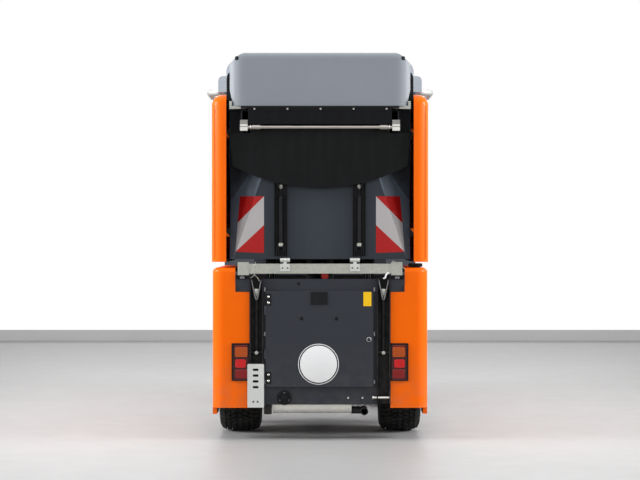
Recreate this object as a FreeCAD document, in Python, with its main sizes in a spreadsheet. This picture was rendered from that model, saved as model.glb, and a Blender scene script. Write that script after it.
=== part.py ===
import FreeCAD, Part
import math
import os
import Sketcher
from FreeCAD import Vector

# Compact articulated street sweeper, millimetres.
# X is to the right, Y is forward and Z is up. The origin lies on the ground under the middle.

SIZES = {
    # Whole vehicle
    "rear_axle_from_rear": 550,
    "pivot_from_rear_axle": 850,
    "wheelbase": 1600,
    "brush_ahead": 2070,
    "flange_from_rail": 51.5,
    "running_gap": 6,
    "seat_gap": 0.3,
    # Wheels
    "tyre_radius": 280,
    "tyre_width": 215,
    "tyre_crown": 5,
    "tyre_shoulder": 34,
    "tyre_wall_round": 20,
    "rim_radius": 165,
    "rim_width": 170,
    "rim_wall": 7,
    "rim_dish": 45,
    "rim_disc": 8,
    "hub_cap": 20,
    "bead_rise": 36,
    "hub_radius": 62,
    "hub_length": 46,
    "hub_cap_chamfer": 12,
    # Frames
    "rail_inner": 150,
    "rail_width": 60,
    "rail_bottom": 330,
    "rail_height": 110,
    "axle_radius": 42,
    "axle_flange_radius": 90,
    "axle_flange_width": 14,
    "pivot_pin_radius": 24,
    "pin_end": 4,
    "pin_fit": 0.05,
    "hoop_depth": 50,
    "hoop_half_width": 300,
    "hoop_post_width": 56,
    "hoop_beam_height": 60,
    "stub_radius": 25,
    "stub_length": 120,
    "saddle_half_length": 55,
    "cross_beam_height": 90,
    "pivot_boss_radius": 70,
    "fork_plate": 24,
    "fork_bottom": 300,
    "fork_top": 500,
    "fork_half_width": 110,
    # Engine bay and rear panels
    "engine_half_width": 200,
    "engine_length": 480,
    "engine_height": 330,
    "engine_from_rear": 160,
    "panel_from_rear": 22,
    "panel_thickness": 28,
    "bay_half_width": 284,
    "hatch_left": -272,
    "hatch_right": 267,
    "hatch_bottom": 267,
    "hatch_top": 747,
    "hatch_lip": 14,
    "hatch_round": 10,
    "hatch_from_rear": 4,
    "hatch_axis_out": 2,
    "hatch_knuckle_radius": 5,
    "hatch_knuckle_half": 22,
    "hatch_hinge_low": 430,
    "hatch_hinge_high": 650,
    "sill_bottom": 177,
    "top_rail_top": 807,
    "post_outer": 353,
    "post_bottom": 180,
    "post_top": 812,
    "post_wall": 6,
    "post_depth": 56,
    "post_strut_radius": 9,
    "post_strut_low": 437,
    "post_strut_high": 757,
    "bracket_outer": 424,
    "bracket_bottom": 744,
    "bracket_slope_width": 30,
    "bracket_slope_height": 40,
    "foot_plate_left": -363,
    "foot_plate_right": -280,
    "foot_plate_bottom": 164,
    "foot_plate_top": 382,
    "foot_plate_thickness": 3,
    "foot_plate_round": 6,
    "foot_slot_width": 29,
    "foot_slot_height": 12,
    "foot_slot_round": 5,
    "foot_slot_pitch": 29,
    "foot_slot_low": 260,
    "foot_slot_x": -322,
    "latch_half_width": 42,
    "latch_bottom": 678,
    "latch_top": 742,
    "latch_x": -4,
    "latch_depth": 3.5,
    "lock_x": 245,
    "lock_height": 504,
    "lock_radius": 10,
    "muffler_radius": 48,
    "muffler_length": 397,
    "muffler_height": 177,
    "muffler_middle": -40,
    "muffler_hanger_half": 20,
    "muffler_hanger_thickness": 8,
    "tailpipe_radius": 19,
    "tailpipe_wall": 3,
    "tailpipe_from_rear": 2,
    "tailpipe_x": 222,
    "tailpipe_height": 144,
    # Lower side covers
    "lower_cover_half_width": 540,
    "lower_cover_bottom": 162,
    "lower_cover_top": 863,
    "lower_cover_wall": 22,
    "skirt_bottom": 127,
    "lower_cover_corner": 58,
    "lower_cover_front": 1020,
    "lower_cover_step": 742,
    "lower_cover_from_rear": 12,
    "lower_cover_inner_top": 424,
    "arch_gap": 55,
    "lamp_inner": 357,
    "lamp_outer": 442,
    "lamp_bottom": 297,
    "lamp_top": 485,
    "lamp_depth": 60,
    "lamp_from_rear": 5,
    "lamp_round": 8,
    "lamp_seat_in": 20,
    # Hinge beam
    "beam_half_length": 412,
    "beam_bottom": 834,
    "beam_top": 883,
    "beam_depth": 48,
    "beam_from_rear": 10,
    "beam_block_width": 55,
    "beam_block_rise": 8,
    "beam_block_out": 3,
    "hinge_x": 175,
    "hinge_width": 48,
    "hinge_leaf": 6,
    "hinge_leaf_rise": 12,
    "hinge_leaf_room": 3,
    "knuckle_gap": 1,
    "hinge_axis_height": 901,
    "hinge_axis_from_rear": 12,
    "hinge_knuckle_radius": 11,
    "hinge_pin_radius": 6,
    # Hopper
    "hopper_half_width": 455,
    "hopper_bottom": 906,
    "hopper_top": 1674,
    "hopper_wall": 26,
    "hopper_from_rear": 70,
    "hopper_to_pivot": 170,
    "hopper_front_half": 330,
    "outlet_bottom": 1400,
    "outlet_top": 1650,
    "outlet_half_width": 392,
    "crease_low_x": 435,
    "crease_high_x": 300,
    "crease_high_z": 1302,
    "crease_turn": 40,
    "crease_top": 1390,
    "outer_crease_high_x": 368,
    "outer_crease_high_z": 1324,
    "outer_crease_low_z": 1203,
    "outer_turn": 6,
    "cover_rail_low": 1020,
    "cover_rail_high": 1520,
    "cover_rail_height": 40,
    "header_height": 13,
    "header_half_width": 396,
    "upper_cover_half_width": 545,
    "upper_cover_inner": 470,
    "upper_cover_bottom": 892,
    "upper_cover_top": 1732,
    "upper_cover_wall": 16,
    "upper_cover_from_rear": 18,
    "upper_cover_corner": 60,
    "upper_cover_sharper": 8,
    "upper_cover_front": 1020,
    "cap_half_width": 478,
    "cap_low_half_width": 442,
    "cap_waist_rise": 30,
    "cap_shoulder_drop": 76,
    "cap_shoulder_in": 86,
    "cap_shoulder_round": 50,
    "cap_top_round": 80,
    "cap_height": 268,
    "cap_wall": 14,
    "cap_corner": 105,
    "cap_edge": 32,
    "cap_roof": 58,
    "cap_from_rear": 10,
    "cap_front_half": 330,
    "channel_x": 197,
    "channel_width": 68,
    "channel_wall": 3,
    "channel_depth": 34,
    "channel_bottom": 922,
    "channel_top": 1287,
    # Flap with its bar and struts
    "flap_half_width": 460,
    "flap_bottom_half_width": 438,
    "flap_above_bar": 73,
    "flap_neck_height": 100,
    "flap_side_height": 163,
    "flap_round_height": 113,
    "flap_arc_radius": 935,
    "flap_thickness": 8,
    "flap_from_rear": 24,
    "flap_sag": 20,
    "flap_neck_half_width": 350,
    "bar_below_top": 107,
    "bar_radius": 9,
    "bar_from_rear": 14,
    "bar_sleeve_radius": 13,
    "bar_sleeve_x": 320,
    "bar_sleeve_length": 40,
    "bar_sleeve_tab": 14,
    "bar_half_length": 362,
    "bar_block_width": 38,
    "bar_block_height": 54,
    "bar_block_drop": 18,
    "seal_half_width": 360,
    "seal_above_bar": 15,
    "seal_height": 86,
    "seal_thickness": 5,
    "seal_from_rear": 3,
    "strut_low": 970,
    "strut_high": 1272,
    "strut_from_rear": 52,
    "strut_barrel_radius": 11.5,
    "strut_eye_radius": 9,
    "strut_neck": 15,
    "strut_neck_radius": 6.5,
    "strut_rod_radius": 4.5,
    "strut_barrel_length": 252,
    "strut_rod_start": 40,
    "strut_bore_room": 5,
    "strut_eye_width": 16,
    "strut_pin_radius": 4,
    "strut_ear": 4,
    "strut_ear_gap": 2,
    "flap_lug_width": 6,
    "flap_lug_below": 10,
    "flap_lug_above": 52,
    "strut_ball_radius": 7,
    # Tilt cylinders
    "tilt_x": 250,
    "tilt_low_from_rear": 640,
    "tilt_low_height": 390,
    "tilt_high_from_rear": 405,
    "tilt_high_height": 866,
    "tilt_pin_radius": 12,
    "tilt_lug_thickness": 12,
    "tilt_lug_length": 56,
    "tilt_barrel_radius": 24,
    "tilt_rod_radius": 13,
    "tilt_barrel_length": 450,
    "tilt_rod_start": 30,
    "tilt_bore_room": 3,
    "tilt_eye_radius": 20,
    "tilt_eye_width": 26,
    # Front frame, suction line and lift
    "front_rail_front": 1580,
    "tow_eye_x": 150,
    "tow_eye_reach": 36,
    "tow_eye_radius": 26,
    "tow_eye_bore": 13,
    "tow_eye_thickness": 14,
    "tow_eye_above_rail": 48,
    "lug_half_width": 50,
    "lug_margin": 24,
    "cab_mount_y": 410,
    "pipe_radius": 76,
    "pipe_height": 432,
    "pipe_end": 200,
    "pipe_end_height": 640,
    "pipe_turn_up": 390,
    "pipe_turn_down": 830,
    "pipe_mouth": 1300,
    "pipe_mouth_height": 230,
    "pipe_bend": 100,
    "pipe_bend_down": 300,
    "pipe_bend_up": 200,
    "bellows_bend": 120,
    "duct_bend": 90,
    "duct_front": -150,
    "duct_back": -316,
    "mouth_half_width": 300,
    "mouth_back": 1190,
    "mouth_length": 230,
    "mouth_height": 90,
    "mouth_wall": 6,
    "mouth_clearance": 12,
    "mouth_round": 30,
    "mouth_hanger_width": 24,
    "mouth_hanger_start": 40,
    "mouth_hanger_length": 40,
    "lift_pivot_y": 1540,
    "lift_arm_width": 30,
    "lift_pin_radius": 14,
    "lift_tube_radius": 22,
    "lift_arm_height": 60,
    "lift_reach": 150,
    "lift_bar_half": 330,
    "arm_pivot_x": 290,
    "arm_pivot_y": 1725,
    "arm_above_lift": 28,
    "arm_width": 56,
    "arm_thickness": 30,
    "arm_boss_radius": 34,
    "brush_x": 345,
    "brush_radius": 330,
    "brush_plate_radius": 175,
    "brush_plate_height": 250,
    "brush_plate_thickness": 24,
    "bristle_inner_top": 120,
    "bristle_inner_tip": 235,
    "spindle_radius": 14,
    "brush_motor_radius": 52,
    "brush_motor_height": 86,
    "brush_floor_gap": 5,
    "bristle_root": 12,
    # Cab
    "cab_half_width": 560,
    "cab_rear": 170,
    "cab_rear_half": 380,
    "cab_wall": 38,
    "cab_floor": 590,
    "cab_seat_floor": 800,
    "cab_seat_step": 370,
    "cab_foot_back": 1100,
    "cab_front_low": 1510,
    "cab_front_belt": 1485,
    "cab_front_top": 1190,
    "belt_height": 1020,
    "cab_top": 1872,
    "screen_bottom": 760,
    "screen_margin": 60,
    "window_round": 40,
    "glass_thickness": 5,
    "door_back": 380,
    "door_front": 1300,
    "door_bottom": 640,
    "door_foot_bottom": 490,
    "door_foot_back": 1140,
    "door_top": 1815,
    "door_front_top": 1140,
    "door_gap": 6,
    "door_frame": 62,
    "door_round": 30,
    "waist_drop": 60,
    "door_hinge_radius": 9,
    "door_hinge_length": 60,
    "door_hinge_tab": 27,
    "handle_out": 18,
    "handle_length": 124,
    "rear_window_bottom": 1130,
    "rear_window_half": 310,
    "rear_window_top": 1800,
    "roof_half_width": 600,
    "roof_top": 1970,
    "roof_front": 1280,
    "roof_edge": 30,
    "roof_round": 90,
    # Inside the cab
    "seat_half_width": 235,
    "seat_length": 540,
    "seat_thickness": 110,
    "seat_bottom": 842,
    "seat_back_height": 620,
    "seat_back_thickness": 100,
    "seat_lean": 30,
    "seat_round": 40,
    "seat_front_round": 30,
    "seat_heel_round": 20,
    "seat_base_half": 170,
    "seat_base_in": 60,
    "seat_base_gap": 2,
    "dash_back": 1220,
    "dash_front": 1450,
    "dash_top": 1000,
    "pedestal_half_width": 110,
    "dash_half_width": 420,
    "dash_thickness": 130,
    "dash_slope": 20,
    "dash_chamfer": 40,
    "dash_round": 20,
    "dash_edge_round": 15,
    "steering_radius": 180,
    "steering_tube": 13,
    "spoke_radius": 10.4,
    "steering_y": 1060,
    "steering_height": 1130,
    "column_radius": 24,
    "column_ahead": 75,
    "column_drop": 60,
    # Lamps and mirrors
    "headlamp_x": 400,
    "headlamp_height": 640,
    "headlamp_radius": 62,
    "headlamp_depth": 46,
    "mirror_arm_height": 1916,
    "mirror_arm_radius": 22,
    "mirror_arm_y": 980,
    "mirror_out": 682,
    "mirror_y": 1400,
    "mirror_bend": 60,
    "mirror_stem_radius": 11,
    "mirror_x": 642,
    "mirror_half_width": 48,
    "mirror_height": 270,
    "mirror_depth": 44,
    "mirror_round": 22,
    "mirror_top": 1830,
}


class Value:
    """A number together with the sheet formula that gives it."""

    def __init__(self, number, formula):
        self.number = float(number)
        self.formula = formula

    def __add__(self, other):
        other = as_value(other)
        return Value(self.number + other.number, "(%s + %s)" % (self.formula, other.formula))

    __radd__ = __add__

    def __sub__(self, other):
        other = as_value(other)
        return Value(self.number - other.number, "(%s - %s)" % (self.formula, other.formula))

    def __rsub__(self, other):
        return as_value(other) - self

    def __mul__(self, other):
        other = as_value(other)
        return Value(self.number * other.number, "(%s * %s)" % (self.formula, other.formula))

    __rmul__ = __mul__

    def __truediv__(self, other):
        other = as_value(other)
        return Value(self.number / other.number, "(%s / %s)" % (self.formula, other.formula))

    def __neg__(self):
        return self * -1


def as_value(thing):
    """Give a plain number the same form as a size from the sheet."""
    if isinstance(thing, Value):
        return thing
    return Value(thing, "(%.9g)" % thing)


def root(value):
    return Value(math.sqrt(value.number), "sqrt(%s)" % value.formula)


def slope(rise, run):
    """The angle in degrees of a line that rises and runs by these lengths."""
    angle = math.degrees(math.atan2(rise.number, run.number))
    return Value(angle, "(atan2(%s; %s) / 1 deg)" % (rise.formula, run.formula))


class Sizes:
    """The spreadsheet, with each size to be read as an attribute."""

    def __init__(self, document, numbers):
        self.sheet = document.addObject("Spreadsheet::Sheet", "Sizes")
        for row, (name, number) in enumerate(numbers.items(), start=1):
            cell = "B%d" % row
            self.sheet.set("A%d" % row, name)
            self.sheet.set(cell, "%g" % number)
            self.sheet.setAlias(cell, name)
            setattr(self, name, Value(number, "Sizes." + name))


doc = FreeCAD.newDocument("Sweeper")
size = Sizes(doc, SIZES)
doc.recompute()

# How far a cutter runs past the face it cuts, and a joined piece into its neighbour.
OVER = 1
# How far a corner cut at 45 degrees slips along its side when both faces come in by one.
SLIP = math.tan(math.radians(22.5))
# Two lengths closer than this are taken as the same.
CLOSE = 0.01
# The largest cross product of two unit directions that are taken as parallel.
PARALLEL = 1e-4

NODES = {}
AXES = {"X": Vector(1, 0, 0), "Y": Vector(0, 1, 0), "Z": Vector(0, 0, 1)}
ABOUT = {"X": ("XY", "H_Axis"), "Y": ("XY", "V_Axis"), "Z": ("XZ", "V_Axis")}
TURN_FROM_Z = {"X": FreeCAD.Rotation(Vector(0, 1, 0), 90),
               "Y": FreeCAD.Rotation(Vector(1, 0, 0), -90),
               "Z": FreeCAD.Rotation()}


def bind(thing, prop, value):
    thing.setExpression(prop, as_value(value).formula)


def place(thing, x=0, y=0, z=0):
    """Bind an object's place to sizes."""
    for letter, value in zip("xyz", (x, y, z)):
        bind(thing, "Placement.Base." + letter, value)
    return thing


def node(name, thing):
    """Register a finished sub-part under its own label."""
    thing.Label = name
    NODES[name] = thing
    return thing


def box(name, x, y, z):
    """A block between two values along each axis."""
    block = doc.addObject("Part::Box", name)
    for prop, (low, high) in zip(("Length", "Width", "Height"), (x, y, z)):
        bind(block, prop, as_value(high) - low)
    return place(block, x[0], y[0], z[0])


def rod(name, axis, radius, low, high, centre):
    """A round bar along one axis; centre gives the other two coordinates in order."""
    bar = doc.addObject("Part::Cylinder", name)
    bind(bar, "Radius", radius)
    bind(bar, "Height", as_value(high) - low)
    bar.Placement = FreeCAD.Placement(Vector(), TURN_FROM_Z[axis])
    spot = {letter: value for letter, value in zip([a for a in "XYZ" if a != axis], centre)}
    spot[axis] = low
    return place(bar, spot["X"], spot["Y"], spot["Z"])


def slanted_rod(name, radius, x, start, end, skip=0, length=None):
    """A round bar between two (Y, Z) points, or a stretch of it that begins after skip."""
    run = as_value(end[0]) - start[0]
    rise = as_value(end[1]) - start[1]
    whole = root(run * run + rise * rise)
    bar = doc.addObject("Part::Cylinder", name)
    bind(bar, "Radius", radius)
    bind(bar, "Height", whole - skip if length is None else length)
    lean, axis = (run, Vector(-1, 0, 0)) if run.number > 0 else (-run, AXES["X"])
    bar.Placement = FreeCAD.Placement(Vector(), FreeCAD.Rotation(axis, 45))
    bind(bar, "Placement.Rotation.Angle", slope(lean, rise))
    return place(bar, x, run * skip / whole + start[0], rise * skip / whole + start[1])


def new_body(name):
    return doc.addObject("PartDesign::Body", name)


def new_sketch(body, plane, offset=0):
    """A sketch on one of the body's origin planes, moved along that plane's axis."""
    sketch = body.newObject("Sketcher::SketchObject", body.Name + "Sketch")
    base = next(f for f in body.Origin.OriginFeatures if f.Role == plane + "_Plane")
    sketch.AttachmentSupport = [(base, "")]
    sketch.MapMode = "FlatFace"
    offset = as_value(offset)
    bind(sketch, "AttachmentOffset.Base.z", -offset if plane == "XZ" else offset)
    return sketch


def pin_point(sketch, geometry, end, u, v):
    """Tie a point of the sketch to its two sizes, measured from the origin."""
    for kind, value in (("DistanceX", as_value(u)), ("DistanceY", as_value(v))):
        number = sketch.addConstraint(Sketcher.Constraint(kind, -1, 1, geometry, end, value.number))
        bind(sketch, "Constraints[%d]" % number, value)


def draw_outline(sketch, outline):
    """Draw a closed outline of corners (u, v) or (u, v, radius of the rounded corner)."""
    corners = []
    for entry in outline:
        u, v = as_value(entry[0]), as_value(entry[1])
        radius = as_value(entry[2]) if len(entry) > 2 else None
        corners.append((Vector(u.number, v.number, 0), u, v, radius))
    count = len(corners)
    starts, ends = [], []
    for index, (point, _, _, radius) in enumerate(corners):
        before = corners[index - 1][0] - point
        after = corners[(index + 1) % count][0] - point
        back = 0.0
        if radius is not None:
            back = radius.number / math.tan(before.getAngle(after) / 2)
        ends.append(point + before.normalize() * back)
        starts.append(point + after.normalize() * back)
    lines = [sketch.addGeometry(Part.LineSegment(start, ends[(index + 1) % count]))
             for index, start in enumerate(starts)]
    for index, (point, u, v, radius) in enumerate(corners):
        last, following = lines[index - 1], lines[index]
        if radius is None:
            sketch.addConstraint(Sketcher.Constraint("Coincident", last, 2, following, 1))
            pin_point(sketch, following, 1, u, v)
        else:
            round_corner(sketch, last, following, corners[index], ends[index], starts[index])


def round_corner(sketch, last, following, corner, arc_start, arc_end):
    """Join two lines by a tangent arc whose corner point and radius are sizes."""
    point, u, v, radius = corner
    middle = (arc_start + arc_end) * 0.5
    reach = (middle - point).Length
    half_chord = (arc_end - arc_start).Length / 2
    centre = middle + (middle - point).normalize() * (half_chord * half_chord / reach)
    first = math.atan2(arc_start.y - centre.y, arc_start.x - centre.x)
    second = math.atan2(arc_end.y - centre.y, arc_end.x - centre.x)
    forward = (arc_start - centre).cross(arc_end - centre).z > 0
    if not forward:
        first, second = second, first
    circle = Part.Circle(centre, Vector(0, 0, 1), radius.number)
    arc = sketch.addGeometry(Part.ArcOfCircle(circle, first, second))
    near, far = (1, 2) if forward else (2, 1)
    sketch.addConstraint(Sketcher.Constraint("Tangent", last, 2, arc, near))
    sketch.addConstraint(Sketcher.Constraint("Tangent", arc, far, following, 1))
    number = sketch.addConstraint(Sketcher.Constraint("Radius", arc, radius.number))
    bind(sketch, "Constraints[%d]" % number, radius)
    spot = sketch.addGeometry(Part.Point(point), True)
    sketch.addConstraint(Sketcher.Constraint("PointOnObject", spot, 1, last))
    sketch.addConstraint(Sketcher.Constraint("PointOnObject", spot, 1, following))
    pin_point(sketch, spot, 1, u, v)


def add_pad(body, plane, outline, low, high):
    """Pad an outline from low to high along the plane's axis."""
    low, high = as_value(low), as_value(high)
    sketch = new_sketch(body, plane, high if plane == "XZ" else low)
    draw_outline(sketch, outline)
    pad = body.newObject("PartDesign::Pad", body.Name + "Pad")
    pad.Profile = sketch
    bind(pad, "Length", high - low)
    return body


def add_pocket(body, plane, outline, low, high):
    """Cut an outline out of the body from low to high along the plane's axis."""
    low, high = as_value(low), as_value(high)
    sketch = new_sketch(body, plane, low if plane == "XZ" else high)
    draw_outline(sketch, outline)
    pocket = body.newObject("PartDesign::Pocket", body.Name + "Pocket")
    pocket.Profile = sketch
    bind(pocket, "Length", high - low)
    return body


def prism(name, plane, outline, low, high):
    return add_pad(new_body(name), plane, outline, low, high)


def turned(name, axis, outline):
    """Turn an outline about an axis; its corners are (radius, along), or (along, radius) about X."""
    body = new_body(name)
    plane, line = ABOUT[axis]
    sketch = new_sketch(body, plane)
    draw_outline(sketch, outline)
    spin = body.newObject("PartDesign::Revolution", body.Name + "Turn")
    spin.Profile = sketch
    spin.ReferenceAxis = (sketch, [line])
    spin.Angle = 360
    return body


def find_edges(body, test):
    doc.recompute()
    return ["Edge%d" % number for number, edge in enumerate(body.Shape.Edges, start=1) if test(edge)]


def along(axis, also=lambda middle: True):
    """A test for straight edges along one axis whose middle passes a further test."""
    def test(edge):
        if edge.Curve.TypeId != "Part::GeomLine":
            return False
        straight = edge.tangentAt(edge.FirstParameter).cross(AXES[axis]).Length < PARALLEL
        return straight and also(edge.CenterOfMass)
    return test


def add_fillet(body, radius, test):
    edges = find_edges(body, test)
    base = body.Tip
    fillet = body.newObject("PartDesign::Fillet", body.Name + "Fillet")
    fillet.Base = (base, edges)
    bind(fillet, "Radius", radius)
    return body


def rectangle(u, v, radius=None):
    """The corners of a rectangle between two values each way, rounded or not."""
    corners = [(u[0], v[0]), (u[1], v[0]), (u[1], v[1]), (u[0], v[1])]
    return [corner + (radius,) for corner in corners] if radius is not None else corners


def cut(name, base, *tools):
    """Cut one or more tools out of a base, one after another."""
    for number, tool in enumerate(tools):
        result = doc.addObject("Part::Cut", "%s%d" % (name, number))
        result.Base = base
        result.Tool = tool
        base = result
    return base


def fuse(name, *pieces):
    joined = doc.addObject("Part::MultiFuse", name)
    joined.Shapes = list(pieces)
    return joined


def common(name, base, tool):
    shared = doc.addObject("Part::MultiCommon", name)
    shared.Shapes = [base, tool]
    return shared


def group(name, *pieces):
    """Several solids that make one sub-part without touching."""
    together = doc.addObject("Part::Compound", name)
    together.Links = list(pieces)
    return together


def mirrored(piece):
    """The same piece on the other side of the middle."""
    other = doc.addObject("Part::Mirroring", piece.Name + "Mirror")
    other.Source = piece
    other.Normal = (1, 0, 0)
    other.Base = (0, 0, 0)
    return other


def pair(name, piece):
    return group(name, piece, mirrored(piece))


# Main places, worked out from the driving sizes.
total_length = (size.rear_axle_from_rear + size.pivot_from_rear_axle + size.brush_ahead
                + size.brush_radius)
rear = total_length / -2
rear_axle = rear + size.rear_axle_from_rear
pivot = rear_axle + size.pivot_from_rear_axle
front_axle = rear_axle + size.wheelbase
module_front = pivot - size.hopper_to_pivot
hoop_rear = module_front - size.hoop_depth
panel_back = rear + size.panel_from_rear
panel_front = panel_back + size.panel_thickness
rail_outer = size.rail_inner + size.rail_width
rail_top = size.rail_bottom + size.rail_height
axle_end = rail_outer + size.flange_from_rail + size.axle_flange_width
half_track = axle_end - size.axle_flange_width + size.hub_length + size.tyre_width / 2
fork_roof = size.fork_top + size.fork_plate
post_rear = rear + size.foot_plate_thickness
hopper_rear = rear + size.hopper_from_rear
hopper_floor = size.hopper_bottom + size.hopper_wall
hinge_axis_y = rear + size.hinge_axis_from_rear
bar_y = rear + size.bar_from_rear
strut_y = rear + size.strut_from_rear
tilt_low = (rear + size.tilt_low_from_rear, size.tilt_low_height)
tilt_high = (rear + size.tilt_high_from_rear, size.tilt_high_height)
no_inset = as_value(0)
bar_height = size.hopper_top - size.bar_below_top
cap_top = size.hopper_top + size.cap_height
lift_height = size.rail_bottom + size.rail_height / 2
arm_low = lift_height + size.arm_above_lift


class Stations:
    """Places along the vehicle that SIZES gives ahead of the articulation's pivot."""

    def __getattr__(self, name):
        return pivot + getattr(size, name)


station = Stations()


def fork_plate(name, bottom):
    """One ear of the articulation fork, round about the pivot and bored for its pin."""
    half, boss = size.fork_half_width, size.pivot_boss_radius
    end = boss - size.seat_gap
    outline = [(-half, module_front), (half, module_front),
               (boss, pivot + boss, end), (-boss, pivot + boss, end)]
    plate = prism(name, "XY", outline, bottom, bottom + size.fork_plate)
    bore = rod(name + "Bore", "Z", size.pivot_pin_radius + size.pin_fit, bottom - OVER,
               bottom + size.fork_plate + OVER, (0, pivot))
    return cut(name + "Bored", plate, bore)


def rear_frame():
    """Two rails, a hoop that carries the hopper, a cross beam and the fork of the pivot."""
    half = size.hoop_half_width
    rail = box("RearRail", (size.rail_inner, rail_outer), (panel_front, module_front),
               (size.rail_bottom, rail_top))
    post = box("HoopPost", (half - size.hoop_post_width, half), (hoop_rear, module_front),
               (size.fork_bottom, size.hopper_bottom - size.seat_gap))
    hoop_low = box("HoopLow", (-half, half), (hoop_rear, module_front), (size.fork_bottom, fork_roof))
    hoop_high = box("HoopHigh", (-half, half), (hoop_rear, module_front),
                    (size.hopper_bottom - size.seat_gap - size.hoop_beam_height,
                     size.hopper_bottom - size.seat_gap))
    cross = box("RearCross", (-size.bay_half_width, size.bay_half_width),
                (panel_front, panel_front + size.hoop_depth),
                (size.rail_bottom - size.cross_beam_height, size.rail_bottom))
    stub = rod("TiltStub", "X", size.tilt_pin_radius, rail_outer - OVER,
               size.tilt_x + size.tilt_eye_width / 2, tilt_low)
    forks = [fork_plate("ForkLow", size.fork_bottom), fork_plate("ForkHigh", size.fork_top)]
    node("rear_frame", fuse("RearFrame", rail, mirrored(rail), post, mirrored(post), hoop_low,
                            hoop_high, cross, stub, mirrored(stub), *forks))


def axle(name, y, top):
    """A dead axle with flanges, saddles up to the rails and a stub for each hub."""
    centre = (y, size.tyre_radius)
    tube = rod(name + "Tube", "X", size.axle_radius, -axle_end, axle_end, centre)
    flange = rod(name + "Flange", "X", size.axle_flange_radius, axle_end - size.axle_flange_width,
                 axle_end, centre)
    stub = rod(name + "Stub", "X", size.stub_radius, axle_end - OVER, axle_end + size.stub_length, centre)
    saddle = box(name + "Saddle", (size.rail_inner, rail_outer),
                 (y - size.saddle_half_length, y + size.saddle_half_length), (size.tyre_radius, top))
    return fuse(name, tube, flange, mirrored(flange), stub, mirrored(stub), saddle, mirrored(saddle))


def engine_bay():
    """The engine as one block, and the muffler that lies across below it."""
    back = rear + size.engine_from_rear
    node("engine_block", box("Engine", (-size.engine_half_width, size.engine_half_width),
                             (back, back + size.engine_length), (rail_top, rail_top + size.engine_height)))
    middle, half = size.muffler_middle, size.muffler_length / 2
    depth = panel_front + size.muffler_radius
    body = rod("Muffler", "X", size.muffler_radius, middle - half, middle + half,
               (depth, size.muffler_height))
    pipe = rod("Tailpipe", "Y", size.tailpipe_radius, rear + size.tailpipe_from_rear,
               depth + size.muffler_radius, (size.tailpipe_x, size.tailpipe_height))
    bore = rod("TailpipeBore", "Y", size.tailpipe_radius - size.tailpipe_wall, rear, depth,
               (size.tailpipe_x, size.tailpipe_height))
    link = rod("TailpipeLink", "X", size.tailpipe_radius, middle + half - OVER, size.tailpipe_x,
               (depth, size.tailpipe_height))
    wide, thick = size.muffler_hanger_half, size.muffler_hanger_thickness / 2
    hanger = box("MufflerHanger", (middle - wide, middle + wide), (depth - thick, depth + thick),
                 (size.muffler_height, size.rail_bottom - size.cross_beam_height))
    node("muffler", cut("MufflerBored", fuse("MufflerParts", body, pipe, link, hanger), bore))


def rear_panels():
    """The fixed panel round the hatch's opening."""
    half = size.bay_half_width
    lip = size.hatch_lip
    panel = prism("RearPanel", "XZ", rectangle((-half, half), (size.sill_bottom, size.top_rail_top)),
                  panel_back, panel_front)
    add_pocket(panel, "XZ", rectangle((size.hatch_left + lip, size.hatch_right - lip),
                                      (size.hatch_bottom + lip, size.hatch_top - lip), lip),
               panel_back, panel_front)
    node("rear_bulkhead", panel)


def channel_post():
    """A channel open to the rear."""
    inner, outer, wall = size.bay_half_width, size.post_outer, size.post_wall
    deep = post_rear + size.post_depth
    outline = [(inner, post_rear), (inner + wall, post_rear), (inner + wall, deep - wall),
               (outer - wall, deep - wall), (outer - wall, post_rear), (outer, post_rear),
               (outer, deep), (inner, deep)]
    return prism("Post", "XY", outline, size.post_bottom, size.post_top)


def posts():
    """The two channel posts beside the hatch, each with an upright strut inside."""
    node("channel_posts", pair("Posts", channel_post()))
    middle = (size.bay_half_width + size.post_outer) / 2
    y = post_rear + size.post_depth / 2
    inner, outer = size.bay_half_width + size.post_wall, size.post_outer - size.post_wall
    radius, low, high = size.post_strut_radius, size.post_strut_low, size.post_strut_high
    bar = rod("PostStrut", "Z", radius, low, high, (middle, y))
    foot = rod("PostStrutFoot", "X", radius, inner, outer, (y, low))
    head = rod("PostStrutHead", "X", radius, inner, outer, (y, high))
    node("post_struts", pair("PostStruts", fuse("PostStrutParts", bar, foot, head)))


FOOT_SLOTS = 4


def foot_plate():
    """A thin upright plate with slots one above another."""
    face = rectangle((size.foot_plate_left, size.foot_plate_right),
                     (size.foot_plate_bottom, size.foot_plate_top), size.foot_plate_round)
    plate = prism("FootPlate", "XZ", face, rear, post_rear)
    x, half = size.foot_slot_x, size.foot_slot_width / 2
    for step in range(FOOT_SLOTS):
        low = size.foot_slot_low + size.foot_slot_pitch * step
        slot = rectangle((x - half, x + half), (low, low + size.foot_slot_height), size.foot_slot_round)
        add_pocket(plate, "XZ", slot, rear, post_rear)
    node("foot_plate", plate)


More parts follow.
